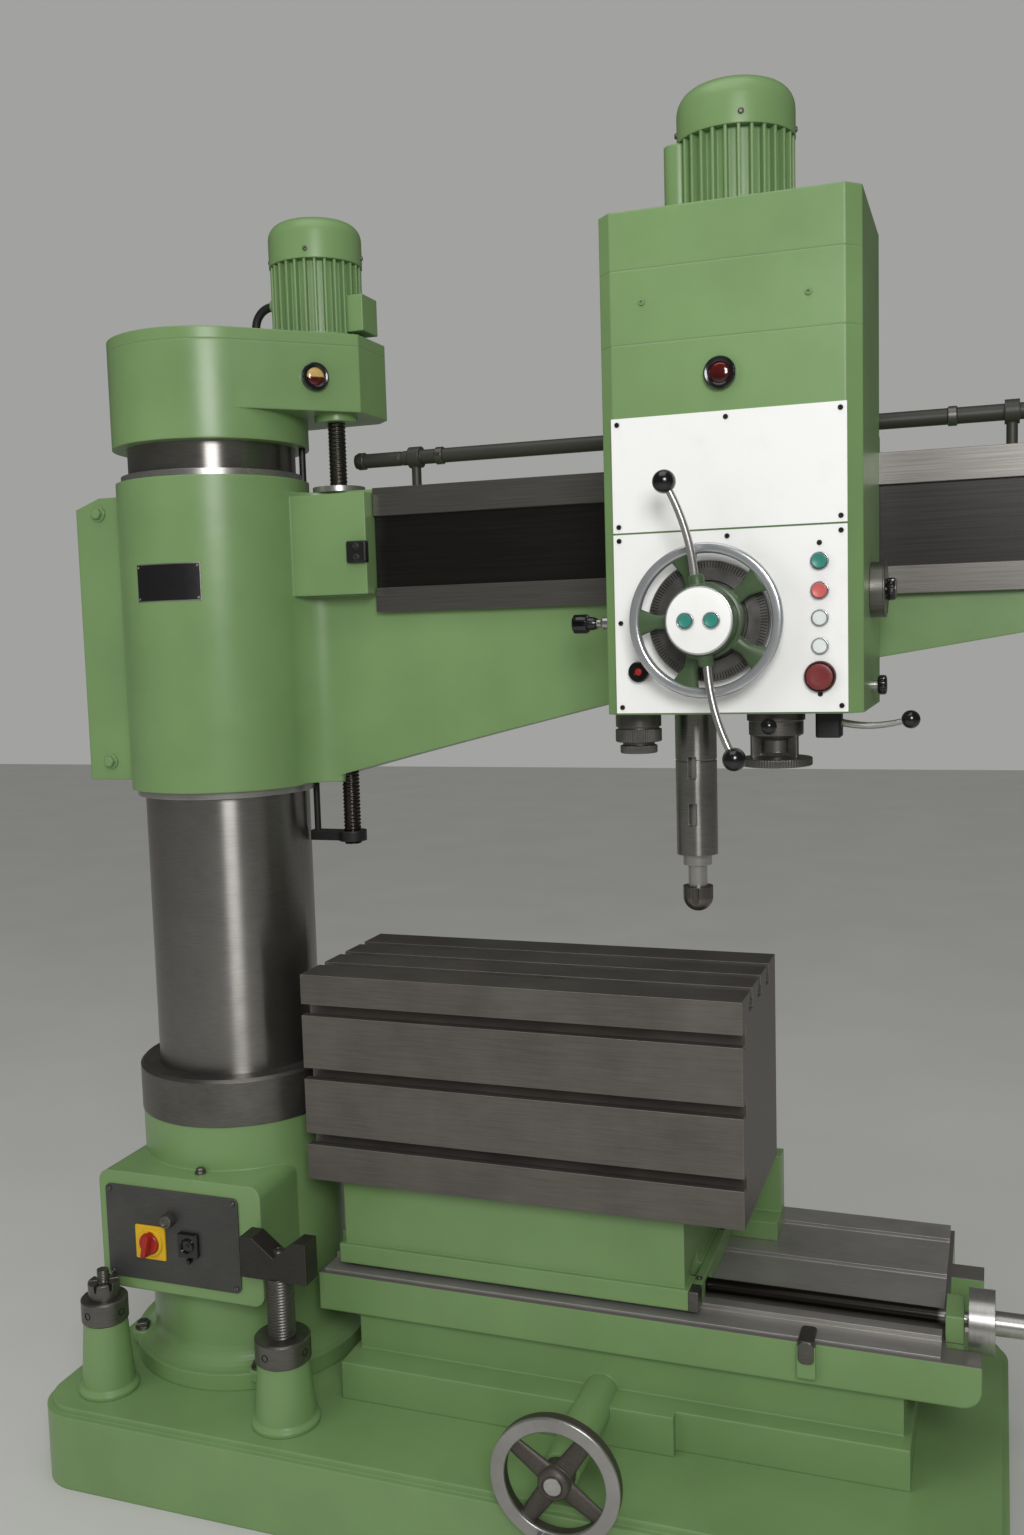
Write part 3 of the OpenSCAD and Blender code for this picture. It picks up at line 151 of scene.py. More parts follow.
lamps = [
    ("key_lamp", (2.3, -3.8, 3.0), (0.6, 0.0, 1.3), 1.3, 84.0),
    ("fill_lamp", (-1.9, -3.4, 2.6), (0.6, 0.0, 1.2), 2.4, 31.0),
    ("top_lamp", (0.6, -1.2, 5.2), (0.6, 0.0, 1.0), 3.0, 40.0),
]
for name, spot, target, size, power in lamps:
    lamp = bpy.data.lights.new(name, "AREA")
    lamp.size = size
    lamp.energy = power
    holder = add_object(name, lamp)
    holder.location = spot
    holder.visible_glossy = name != "fill_lamp"
    aim = np.subtract(target, spot)
    pitch, yaw = math.atan2(math.hypot(aim[0], aim[1]), -aim[2]), math.atan2(-aim[0], aim[1])
    holder.rotation_euler = (pitch, 0, yaw)


# Castings of the base, column, table, arm and head
# Grey iron castings, filled, rubbed down and sprayed with green machine enamel.
# The enamel is glossy with a fine orange peel; a lighter line on the edges is worn paint and a painted
# highlight.
def spread(tree, value, source=(0.0, 1.0), target=(0.0, 1.0)):
    """A value carried from one span to another and held at both ends."""
    ends = zip(("From Min", "From Max", "To Min", "To Max"), (*source, *target))
    return add_node(tree, "MapRange", {"Value": value, **dict(ends)}).outputs[0]


def maths(tree, operation, *terms):
    """One operation on terms, each a number or an output."""
    return add_node(tree, "Math", dict(enumerate(terms)), operation=operation).outputs[0]


def shaded(tree, colour, value):
    """A colour made darker or lighter by a factor."""
    return add_node(tree, "HueSaturation", {"Color": colour, "Value": value}).outputs[0]


def rounded(tree, radius, samples):
    """The normal of a surface whose edges are rounded to a radius."""
    return add_node(tree, "Bevel", {"Radius": radius}, samples=samples).outputs[0]


def edge_wear_and_highlight(tree, radius, most):
    """A rounded normal, and a share that rises to most where it leaves the flat normal."""
    soft = rounded(tree, radius, 6)
    flat = add_node(tree, "NewGeometry").outputs["Normal"]
    match = add_node(tree, "VectorMath", {0: soft, 1: flat}, operation="DOT_PRODUCT").outputs["Value"]
    return soft, spread(tree, match, (0.98, 0.86), (0.0, most))


def bumped(tree, height, normal, strength, distance):
    """A normal tilted by the slope of a height."""
    values = {"Height": height, "Normal": normal, "Strength": strength, "Distance": distance}
    return add_node(tree, "Bump", values).outputs[0]


def machine_enamel(name, colour, worn_and_highlight, gloss):
    """Enamel: clouded colour, peel in the bump, lighter (wear and painted highlight) where a rounded normal
    leaves the flat one.
    """
    material, tree, shader, place = new_material(name)
    cloud = noise(tree, place, 5.0, 4.0)
    tone = shaded(tree, colour, spread(tree, cloud, (0.3, 0.7), (0.9, 1.05)))
    # Edges turn towards the lighter colour: worn paint and a painted highlight.
    soft, wear_and_highlight_share = edge_wear_and_highlight(tree, 0.005, 0.4)
    peel = noise(tree, place, 260.0, 1.0)
    waves = maths(tree, "MULTIPLY_ADD", noise(tree, place, 9.0), 14.0, peel)
    fill(tree, shader, {
        "Base Color": mix(tree, wear_and_highlight_share, tone, worn_and_highlight),
        "Roughness": spread(tree, cloud, target=(gloss - 0.05, gloss + 0.08)),
        "Normal": bumped(tree, waves, soft, 0.2, 0.0004)})
    return material


def dress(material, *names):
    """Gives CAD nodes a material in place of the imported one."""
    for name in names:
        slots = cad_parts[name].data.materials
        slots.clear()
        slots.append(material)


# The lighter green goes on the edges: worn paint and a painted highlight.
green, worn_and_highlight_green, green_gloss = "#75945f", "#8faa7c", 0.32
green_enamel = machine_enamel("green_machine_enamel", green, worn_and_highlight_green, green_gloss)
dress(green_enamel, "base_plate", "column_foot", "jack_posts", "table_pedestal", "carriage", "way_wiper",
      "top_casing", "casing_lid", "lift_motor", "lift_motor_cowl", "arm_casting", "side_cover",
      "head_body", "mid_cover", "top_cover", "head_motor", "head_motor_cowl")


# Foot bolts
# Four hexagon bolts on washers hold the column foot down on the base, each on a cast boss.
# They are plain turned steel: fine tool rings, rubbed bright on the corners.
bolt_circle = 0.243
boss_low, boss_top = 0.188, 0.212
boss_radius, boss_chamfer = 0.024, 0.003
bolt_first, bolt_count = 33.0, 4
washer_thick, hexagon_drop = 0.003, 0.002
merge_distance, crease_angle = 1e-6, math.radians(35)
up_z, to_front, to_right, to_left = (0, 0, 1), (0, -1, 0), (1, 0, 0), (-1, 0, 0)


def machined(name, dark, pale, line_mm, squeeze, roughness, metallic=0.85, rubbed_and_highlight="#a3a19d"):
    """Machined metal: streaks line_mm wide, drawn out along axes that squeeze makes small, lighter edges
    (rubbed, and on ground iron a painted highlight).
    """
    material, tree, shader, place = new_material(name)
    drawn = add_node(tree, "Mapping", {"Vector": place, "Scale": squeeze}).outputs[0]
    streak = noise(tree, drawn, 1000.0 / line_mm, 3.0)
    stain = noise(tree, place, 7.0, 6.0, 0.6)
    level = spread(tree, maths(tree, "MULTIPLY_ADD", streak, 0.8, stain), (0.6, 1.2))
    soft, rub_and_highlight = edge_wear_and_highlight(tree, 0.002, 0.5)
    fill(tree, shader, {
        "Base Color": mix(tree, rub_and_highlight, mix(tree, level, dark, pale), rubbed_and_highlight),
        "Roughness": spread(tree, stain, target=(roughness - 0.06, roughness + 0.12)),
        "Normal": bumped(tree, streak, soft, 0.12, 0.0003),
        "Metallic": metallic})
    return material


def grid_faces(rows, columns):
    """Quads between the rows and columns of a grid whose last column joins the first."""
    row, column = np.mgrid[0:rows - 1, 0:columns]
    here, right = row * columns + column, row * columns + (column + 1) % columns
    return np.stack([here, right, right + columns, here + columns], -1).reshape(-1, 4)


def turned(radius, height, centre, along, steps=48):
    """Surface of revolution: radius and height by row (and angle), swept round a line along a direction."""
    along = np.asarray(along, float) / np.linalg.norm(along)
    guide = np.array((1.0, 0.0, 0.0)) if abs(along[2]) > 0.9 else np.array((0.0, 0.0, 1.0))
    side = np.cross(guide, along)
    side /= np.linalg.norm(side)
    up = np.cross(along, side)
    angle = np.linspace(0, 2 * np.pi, steps, endpoint=False)[:, None]
    ring = np.cos(angle) * side + np.sin(angle) * up
    radius, height = (np.reshape(rows, (len(rows), -1, 1)) for rows in (radius, height))
    points = np.asarray(centre) + radius * ring + height * along
    return points.reshape(-1, 3), grid_faces(len(radius), steps)


def drum(radius, low, high, centre, along, steps=48, inset=0.0, drop=0.0):
    """Turned drum with closed ends, its upper edge cut in by an inset over a drop."""
    shoulder = [(radius, high - drop)] if drop else []
    rows = [(0, low), (radius, low), *shoulder, (radius - inset, high), (0, high)]
    return turned(*zip(*rows), centre, along, steps)


def hex_bolt(spot, along, washer, head, inset, tall, steps=48):
    """Bolt head: a hexagon with a chamfered top on a round washer."""
    return [drum(washer, 0, washer_thick, spot, along, steps),
            drum(head, washer_thick, tall, spot, along, 6, inset, hexagon_drop)]


def add_piece(name, parts, body, material, slot, *replaced):
    """One piece from parts of points and faces: doubles merged, sharp edges creased, riding on a body."""
    starts = np.cumsum([0] + [len(points) for points, faces in parts])
    points = np.concatenate([points for points, faces in parts])
    faces = np.concatenate([quads + start for (corners, quads), start in zip(parts, starts)])
    mesh = bpy.data.meshes.new(name)
    mesh.from_pydata(points.tolist(), [], faces.tolist())
    shape = bmesh.new()
    shape.from_mesh(mesh)
    bmesh.ops.remove_doubles(shape, verts=shape.verts, dist=merge_distance)
    shape.to_mesh(mesh)
    shape.free()
    mesh.shade_smooth()
    mesh.set_sharp_from_angle(angle=crease_angle)
    mesh.materials.append(material)
    piece = add_object(name, mesh)
    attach(piece, body)
    if replaced:
        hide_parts(*replaced)


# Turned steel shows rings one millimetre apart round its axis and darkens where oil has stained it.
dark_steel = machined("dark_turned_steel", "#5e5b57", "#7d7a75", 1.2, (0.05, 0.05, 1.0), 0.34)
bright_steel = machined("bright_turned_steel", "#a3a19d", "#c6c4c0", 1.0, (0.05, 0.05, 1.0), 0.26)
bosses, bolts = [], []
for angle in np.radians(bolt_first + np.arange(bolt_count) * 360 / bolt_count):
    x, y = bolt_circle * math.cos(angle), bolt_circle * math.sin(angle)
    bosses.append(drum(boss_radius, boss_low, boss_top, (x, y, 0), up_z, 48, boss_chamfer, boss_chamfer))
    bolts += hex_bolt((x, y, boss_top), up_z, 0.018, 0.0145, 0.0025, 0.015)
add_piece("foot_bosses", bosses, "base", green_enamel, "machine_green")
add_piece("foot_bolts", bolts, "base", dark_steel, "ground_steel")


# Switch panel
# A sheet steel panel closes the switch box on the foot; four screws hold it.
# It carries the main switch on a yellow plate, a fuse holder with a ribbed cap, and a black socket.
panel_front, panel_inset = -0.266, 0.010
panel_left, panel_right, panel_bottom, panel_top = -0.182, 0.135, 0.400, 0.600
switch_place = (-0.075, panel_front, 0.484)
switch_turn = math.radians(-14)
yellow_half, yellow_thick, yellow_edge = 0.036, 0.004, 0.001
fuse_place, fuse_radius = (-0.025, panel_front, 0.541), 0.014
fuse_steps, fuse_ribs, rib_share = 96, 24, 0.05
socket_place, catch_place = (0.018, panel_front, 0.491), (0.018, panel_front, 0.457)
box_screw_place = (0.026, -0.225, 0.628)


def square_to(along):
    """Across and upward directions of a plate that faces along a direction."""
    along = np.asarray(along, float)
    tall = np.array((0.0, 1.0, 0.0)) if abs(along[2]) > 0.9 else np.array((0.0, 0.0, 1.0))
    return along, np.cross(tall, along), tall


def closed(rows):
    """Rows of points joined into a skin; its first and last rows are drawn together, which closes it."""
    return np.reshape(rows, (-1, 3)), grid_faces(len(rows), len(rows[0]))


def plate(centre, half, corner, along, heights, insets, turn=0.0, steps=6):
    """Rounded rectangle carried along a direction: at each height its sides draw in by an inset."""
    along, wide, tall = square_to(along)
    count = np.arange(4 * steps)
    quarter = count // steps
    angle = (quarter + (count % steps) / (steps - 1)) * np.pi / 2
    inset = np.asarray(insets, float)[:, None]
    radius = np.clip(corner - inset, 1e-5, None)
    across = np.where(quarter % 3 == 0, 1, -1) * (half[0] - inset - radius) + radius * np.cos(angle)
    upward = np.where(quarter < 2, 1, -1) * (half[1] - inset - radius) + radius * np.sin(angle)
    lean = across * math.cos(turn) - upward * math.sin(turn)
    rise = across * math.sin(turn) + upward * math.cos(turn)
    levels = np.asarray(centre) + np.asarray(heights, float)[:, None, None] * along
    rows = levels + lean[..., None] * wide + rise[..., None] * tall
    ends = np.repeat(levels[[0, -1]], 4 * steps, 1)
    return closed(np.concatenate([ends[:1], rows, ends[1:]]))


def dome_screws(places, radius, along):
    """Cap screws: a low dome with a round socket sunk in it, one at each place."""
    shares = np.multiply((0, 1, 1, 0.86, 0.5, 0.45, 0), radius)
    rises = np.multiply((0, 0, 0.35, 0.62, 0.75, 0.3, 0.3), radius)
    return [turned(shares, rises, spot, along, 20) for spot in places]


def moulded(name, colour, roughness, coat=0.0):
    """Moulded plastic: even colour with slight flow clouds, a very fine skin, and a rounded edge."""
    material, tree, shader, place = new_material(name)
    flow = noise(tree, place, 60.0, 3.0)
    fill(tree, shader, {
        "Base Color": shaded(tree, colour, spread(tree, flow, target=(0.85, 1.15))),
        "Roughness": spread(tree, flow, target=(roughness - 0.04, roughness + 0.08)),
        "Normal": bumped(tree, noise(tree, place, 900.0), rounded(tree, 0.0012, 4), 0.08, 0.0002),
        "Coat Weight": coat})
    return material


# Phenolic is a hard black moulding that takes a polish; the coloured parts are softer nylon.
black_phenolic = moulded("black_phenolic", "#131314", 0.18, 0.4)
red_nylon = moulded("red_nylon", "#a3211b", 0.34)
yellow_nylon = moulded("yellow_nylon", "#d8ac16", 0.42)
# Brushed sheet steel under a grey wash: lines a millimetre apart along its length.
grey_sheet = machined("brushed_grey_sheet", "#454543", "#5a5957", 1.0, (0.03, 1.0, 1.0),
                      0.42, 0.5, "#8b8a86")
dress(grey_sheet, "switch_panel")
panel_screws = [(x, panel_front, z) for x in (panel_left + panel_inset, panel_right - panel_inset)
                for z in (panel_bottom + panel_inset, panel_top - panel_inset)]
add_piece("panel_screws", dome_screws(panel_screws, 0.0055, to_front), "base", dark_steel, "ground_steel")
box_screw = hex_bolt(box_screw_place, up_z, 0.012, 0.009, 0.002, 0.012, 24)
add_piece("switch_box_screw", box_screw, "base", dark_steel, "ground_steel")
yellow = plate(switch_place, (yellow_half, yellow_half), 0.003, to_front,
               (-0.002, yellow_thick - yellow_edge, yellow_thick), (0, 0, yellow_edge))
yellow_ring = turned((0.0300, 0.0300, 0.0285, 0.0230, 0.0230, 0.0300),
                     (0.002, 0.006, 0.008, 0.008, 0.002, 0.002), switch_place, to_front)
add_piece("switch_plate", [yellow, yellow_ring], "base", yellow_nylon, "plate_white")
knob = drum(0.0225, 0.0045, 0.013, switch_place, to_front, 48, 0.002, 0.002)
handle = plate(switch_place, (0.0085, 0.027), 0.008, to_front,
               (0.010, 0.022, 0.027, 0.0285), (0, 0.0015, 0.003, 0.0055), switch_turn)
add_piece("switch_knob", [knob, handle], "main_switch", red_nylon, "signal_red", "main_switch")
rib_turn = (np.arange(fuse_steps) + 0.5) / fuse_steps * 2 * np.pi
ribs = 1 + rib_share * np.sign(np.sin(rib_turn * fuse_ribs))
fuse_shares = np.array((0, 1, 1, 0.92, 0.6, 0.55, 0))[:, None]
fuse = turned(fuse_radius * fuse_shares * np.where(fuse_shares == 1, ribs, 1),
              (0, 0, 0.0185, 0.0212, 0.0212, 0.0190, 0.0190), fuse_place, to_front, fuse_steps)
add_piece("fuse_cap", [fuse], "base", dark_steel, "ground_steel")
socket = plate(socket_place, (0.0235, 0.0255), 0.004, to_front, (0, 0.008, 0.0098), (0, 0, 0.0015))
well = turned((0, 0.0155, 0.0155, 0.0135, 0.0125, 0.0125, 0.004, 0.004, 0),
              (0.009, 0.009, 0.0135, 0.0145, 0.0135, 0.010, 0.010, 0.0125, 0.0125), socket_place, to_front)
catch = drum(0.006, 0, 0.011, catch_place, to_front, 24, 0.002, 0.003)
add_piece("socket_cover", [socket, well, catch], "base", black_phenolic, "gloss_black")


# Jacks
# Two screw jacks stand on turned posts of the base: a round nut on each, with holes for a hook spanner.
# The left one carries a slotted nut on a stud, the right one a threaded rod with a V-block for round work.
left_jack, right_jack = (-0.175, -0.300, 0), (0.246, -0.300, 0)
jack_nuts = [("left", left_jack, 0.3203, 0.3703, 0.048), ("right", right_jack, 0.3003, 0.3503, 0.056)]
nut_chamfer, hole_turns = 0.003, (-100, -10, 80, 170)
castle_steps, castle_slots, slot_steps, slot_deep = 96, 6, 3, 0.016
castle_low, castle_high, castle_seat = 0.3705, 0.404, 0.396
rod_radius, rod_pitch, rod_depth, rod_low = 0.028, 0.006, 0.0022, 0.2003
vee_low, vee_mid, vee_high, vee_half, vee_deep = 0.4703, 0.4903, 0.5523, 0.0725, 0.024
notch_half, notch_low = 0.046, 0.5163


def threaded(radius, depth, pitch, low, high, centre, steps=32):
    """Screw: the radius falls by depth as a triangle wave of height over pitch less the turn share."""
    rows = np.arange(low, high, pitch / 8)
    share = np.arange(steps) / steps
    wave = np.abs((rows[:, None] / pitch - share) % 1 * 2 - 1)
    radii = np.pad(radius - depth * wave, ((1, 1), (0, 0)))
    return turned(radii, np.pad(rows, 1, "edge"), centre, up_z, steps)


def stacked(outline, heights, centre, along):
    """Block: an outline of across and upward places, carried along a direction and closed to its middle."""
    along, wide, tall = square_to(along)
    across, upward = np.transpose(outline)[..., None]
    loop = across * wide + upward * tall
    middles = np.asarray(centre) + np.multiply.outer(heights, along)
    rows = [middles[0] + 0 * loop, *(loop + spot for spot in middles), middles[-1] + 0 * loop]
    return closed(np.stack(rows))


def spanner_nut(spot, low, high, radius):
    """Round nut: a cylinder with both rims chamfered."""
    narrow = radius - nut_chamfer
    return turned((0, narrow, radius, radius, narrow, 0),
                  (low, low, low + nut_chamfer, high - nut_chamfer, high, high), spot, up_z, 72)


def spanner_holes(spot, height, radius):
    """Four holes round a nut, each a shallow ring that a painted shade shows as a deep bore."""
    outward = [np.array((math.cos(a), math.sin(a), 0)) for a in np.radians(hole_turns)]
    return [turned((0, 0.0075, 0.0075, 0.006, 0.006, 0), (-0.002, -0.002, 0.0006, 0.0006, -0.0015, -0.0015),
                   np.add(spot, (0, 0, height)) + radius * ray, ray, 24) for ray in outward]


# The spanner holes are shallow, so their black is painted shade of the bore, with old oil in it too.
oil_and_painted_shade_black = machined("black_steel_oil_and_painted_shade", "#121110", "#211f1d", 2.0, (1, 1, 1), 0.4, 0.6, "#2a2826")
for side, spot, low, high, radius in jack_nuts:
    body = side + "_jack_nut"
    add_piece(side + "_nut", [spanner_nut(spot, low, high, radius)], body, dark_steel, "ground_steel", body)
for side, spot, low, high, radius in jack_nuts:
    holes = spanner_holes(spot, (low + high) / 2, radius)
    add_piece(side + "_nut_holes", holes, side + "_jack_nut", oil_and_painted_shade_black, "ground_steel")
in_slot = np.arange(castle_steps) % (castle_steps // castle_slots) < slot_steps
castle_rises = castle_high - np.where(in_slot, slot_deep, 0.0)
castle_foot = np.full(castle_steps, castle_low)
castle_heights = [castle_foot, castle_foot, castle_rises - 0.002, castle_rises, castle_rises,
                  np.full(castle_steps, castle_seat)]
castle = turned((0, 0.032, 0.032, 0.030, 0.013, 0), castle_heights, left_jack, up_z, castle_steps)
stud = threaded(0.0125, 0.0012, 0.0035, 0.372, 0.428, left_jack)
stem = drum(0.020, 0.30, 0.3745, left_jack, up_z)
add_piece("left_stud", [castle, stud, stem], "left_jack_screw", dark_steel, "ground_steel",
          "left_jack_screw")
rod = threaded(rod_radius, rod_depth, rod_pitch, rod_low, vee_low + 0.002, right_jack)
vee = np.array([(-vee_half, vee_low), (vee_half, vee_low), (vee_half, vee_high), (notch_half, vee_high),
                (0, notch_low), (-notch_half, vee_high), (-vee_half, vee_high)]) - (0, vee_mid)
block = stacked(vee, (-vee_deep, vee_deep), (*right_jack[:2], vee_mid), to_front)
vee_screw = dome_screws([(*right_jack[:2], notch_low)], 0.013, up_z)
add_piece("right_rod", [rod, *vee_screw], "right_jack_screw", dark_steel, "ground_steel",
          "right_jack_screw")
# The V-block is forged and blackened in oil, rubbed grey on its edges.
black_forged = machined("blackened_forged_steel", "#2f2d2a", "#43403c", 2.5, (1, 1, 1),
                        0.38, 0.6, "#74706b")
add_piece("vee_block", [block], "right_jack_screw", black_forged, "black_steel")


# Ground ways, box table and its screws
# The ways and the slotted box table are grey iron, planed and ground along their length.
# Ground iron is dark with fine lines; oil and chips have stained it brown. Its near-white edges are rubbed
# iron and a painted highlight.
oil_blur, bare_reach = 0.01, 0.0012
way_stop_x, way_stop_half, lug_front = 1.257, 0.0145, -0.163
bed_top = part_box("bed_ways")[0][2]
# The pale last colours are for the edges: rubbed iron with a painted highlight.
ground_iron = machined("ground_iron", "#645f5a", "#7c7771", 1.6, (0.02, 1.0, 1.0), 0.44, 0.7, "#c4c1bc")
ground_ways = machined("ground_ways", "#97948f", "#b5b2ae", 1.4, (0.02, 1.0, 1.0), 0.36, 0.6, "#dad8d4")
dress(ground_iron, "box_table")
dress(ground_ways, "bed_ways")
dress(bright_steel, "cross_screw")


def shader_of(material):
    """The shader node of a finished material."""
    return next(node for node in material.node_tree.nodes if node.type == "BSDF_PRINCIPLED")


def axis_of(tree, place, axis):
    """One coordinate of a place."""
    return add_node(tree, "SeparateXYZ", {0: place}).outputs[axis]


def part_covered(material, axis, cover, share):
    """A finish with a second colour over it, by a share made from the Object place along an axis."""
    tree, shader = material.node_tree, shader_of(material)
    under = shader.inputs["Base Color"].links[0].from_socket
    along = axis_of(tree, add_node(tree, "TexCoord").outputs["Object"], axis)
    fill(tree, shader, {"Base Color": mix(tree, share(tree, along), under, cover)})
    return material


def below_ways_end(tree, along):
    """Share that falls from 1 to 0 where a place passes the right end of the ways."""
    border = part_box("bed_ways")[1][0]
    return spread(tree, along, (border - oil_blur, border + oil_blur), (1.0, 0.0))


def at_bed_top(tree, along):
    """Share that is 1 within about a millimetre of the bed's top."""
    return maths(tree, "COMPARE", along, bed_top, bare_reach)


# The screw is near black between the ways, where it lies in their channel, and bright where hands and the
# dial turn outside them.
screw_steel = machined("screw_steel_dark_between_ways", "#a3a19d", "#c6c4c0", 1.0, (1.0, 0.05, 0.05), 0.26)
dress(part_covered(screw_steel, "X", "#2d2925", below_ways_end), "table_screw")
# The bed is painted and then planed on top, which leaves bare iron with a thin line along its edges.
bed_enamel = machine_enamel("green_enamel_with_planed_top", green, worn_and_highlight_green, green_gloss)
dress(part_covered(bed_enamel, "Z", "#5d5a55", at_bed_top), "bed")
# A bent steel stop is let into the front way and turned down over its lug.
way_stop = [plate((way_stop_x, lug_front + 0.028, bed_top), (way_stop_half, 0.031), 0.008, up_z,
                  (0, 0.0085, 0.0100), (0, 0, 0.0015)),
            plate((way_stop_x, lug_front, bed_top - 0.012), (way_stop_half, 0.0215), 0.010, to_front,
                  (-0.002, 0.0030, 0.0045), (0, 0, 0.0015))]
add_piece("way_stop", way_stop, "cross_slide", dark_steel, "ground_steel")
# The wiper ends in a steel block over the front way, and two cap screws hold it on the carriage.
wiper_low, wiper_high = np.array(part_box("way_wiper"))
wiper_half = (wiper_high - wiper_low) / 2
wiper_mid = wiper_low + wiper_half
wiper_end = plate((wiper_mid[0], wiper_low[1], wiper_mid[2] + 0.0006),
                  (wiper_half[0] + 0.0008, wiper_half[2]), 0.002,
                  to_front, (-0.030, 0.0030, 0.0045), (0, 0, 0.0015))
wiper_places = [(wiper_mid[0], wiper_low[1] + y, wiper_high[2]) for y in (0.055, 0.290)]
wiper_screws = dome_screws(wiper_places, 0.0065, up_z)
add_piece("wiper_end", [wiper_end, *wiper_screws], "table", dark_steel, "ground_steel")


# Handwheels
# Two cast handwheels move the slides: a square rim with a polished face, four spokes and a keyed hub.
# A turned phenolic grip spins on a pin in the rim.
wheel_radius, rim_half, hub_radius, hub_long = 0.120, 0.013, 0.030, 0.044
spoke_first, spoke_number, grip_turn = 35.0, 4, 194.0
face_deep, face_bevel, face_proud = 0.006, 0.002, 0.0004


def swept(path, across, width, depth, steps=20):
    """Bar along a flat path: an ellipse, width across the path's plane and depth in it, ends closed."""
    path = np.asarray(path, float)
    ahead = np.gradient(path, axis=0)
    ahead /= np.linalg.norm(ahead, axis=1)[:, None]
    side = np.cross(ahead, across)[:, None]
    angle = np.linspace(0, 2 * np.pi, steps, endpoint=False)[None, :, None]
    width, depth = (np.broadcast_to(size, len(path))[:, None, None] for size in (width, depth))
    rings = path[:, None] + np.cos(angle) * width * np.asarray(across) + np.sin(angle) * depth * side
    ends = np.repeat(path[[0, -1], None], steps, 1)
    return closed(np.concatenate([ends[:1], rings, ends[1:]]))


def wheel_ray(along, degrees):
    """Direction in the plane of a wheel with its axis along X or Y, at an angle from its top."""
    flat = np.array((0, 1, 0)) if abs(along[0]) > 0.9 else np.array((1, 0, 0))
    angle = math.radians(degrees)
    return math.sin(angle) * flat + math.cos(angle) * np.array((0, 0, 1))


def wheel_spokes(centre, along, first, count, inner, outer, width, depth):
    """Spokes: bars from the hub to the rim, their width and depth given from the inner end to the outer."""
    reach = np.linspace(inner, outer, len(width))[:, None]
    turns = first + np.arange(count) * 360 / count
    paths = [np.asarray(centre) + reach * wheel_ray(along, turn) for turn in turns]
    return [swept(path, along, depth, width) for path in paths]


def ring_band(radius, half_wide, half_deep, centre, along, steps, power):
    """Rim: a rounded square section (a superellipse) carried round a circle."""
    angle = np.linspace(0, 2 * np.pi, 33)
    out, rise = (np.sign(wave) * np.abs(wave) ** (2 / power) for wave in (np.cos(angle), np.sin(angle)))
    return turned(radius + half_wide * out, half_deep * rise, centre, along, steps)


def handwheel(name, hub_front, along, body):
    """Handwheel: iron rim, spokes, hub and nut, and a grip on a pin; its axis points at the user."""
    along = np.asarray(along, float)
    middle = np.asarray(hub_front) - along * hub_long / 2
    shares = np.linspace(0, 1, 9)
    rim_middle, inner, outer = wheel_radius - rim_half, wheel_radius - 2 * rim_half, wheel_radius
    iron = wheel_spokes(middle, along, spoke_first, spoke_number, hub_radius * 0.7,
                        outer - rim_half * 1.6, 0.0195 - 0.0045 * shares, 0.0085 - 0.0025 * shares)
    hub_rises = np.array((0, 0, 0.036, 0.041, 0.044, 0.040, 0.040)) - hub_long / 2
    iron.append(turned((0, hub_radius, hub_radius, 0.027, 0.021, 0.021, 0), hub_rises, middle, along))
    iron.append(drum(0.0135, 0.010, 0.0218, middle, along, 6, 0.0025, 0.0028))
    iron.append(ring_band(rim_middle, rim_half - face_proud, rim_half, middle, along, 96, 7))
    face_falls = np.array((face_deep, 0.0015, 0, 0, 0.0015, face_deep, face_deep))
    face = turned((inner, inner, inner + face_bevel, outer - face_bevel, outer, outer, inner),
                  rim_half - face_falls, middle, along, 96)
    foot = middle + wheel_ray(along, grip_turn) * rim_middle + along * hub_long / 2
    pin = drum(0.0075, -0.012, 0.004, foot, along, 24)
    swell = (0, 0.0085, 0.011, 0.0115, 0.0105, 0.010, 0.0115, 0.0135, 0.014, 0.0135, 0.011, 0.007, 0)
    rise = (0.0, 0.0, 0.002, 0.008, 0.018, 0.030, 0.044, 0.056, 0.064, 0.070, 0.075, 0.0775, 0.078)
    grip = turned(swell, rise, foot, along, 40)
    add_piece(name + "_spokes", iron, body, cast_grey, "ground_steel", name)
    add_piece(name + "_rim", [face, pin], body, polished_rim, "bright_steel")
    add_piece(name + "_grip", [grip], body, black_phenolic, "gloss_black")


# The faces of the rims are rubbed bright by hands; the spokes keep the grey of the casting under oil.
cast_grey = machined("oiled_grey_casting", "#45413c", "#615c55", 3.0, (1, 1, 1), 0.44, 0.55, "#8d8880")
polished_rim = machined("polished_iron_rim", "#8f8d8a", "#b3b1ae", 0.8, (1.0, 0.2, 1.0),
                        0.3, 0.75, "#c4c2be")
handwheel("cross_handwheel", (0.856, -0.448, 0.238), to_front, "cross_screw")
handwheel("table_handwheel", (1.734, -0.030, 0.4363), to_right, "table_screw")


# Column
# A drawn steel tube turns on the core and is clamped by a turned ring above the foot.
# It is ground round its axis, so that the highlight runs along it as an upright line.
def ring_ground(material, stretch):
    """Grinding lines round an upright axis: the highlight is drawn out along the axis by a stretch."""
    values = {"Anisotropic": stretch, "Anisotropic Rotation": 0.25}
    fill(material.node_tree, shader_of(material), values)
    return material


column_steel = machined("ground_column_steel", "#8a8783", "#a19e9a", 1.4, (0.05, 0.05, 1.0), 0.3, 0.95)
dress(ring_ground(column_steel, 0.93), "column_tube")
dress(dark_steel, "clamp_ring", "column_core")


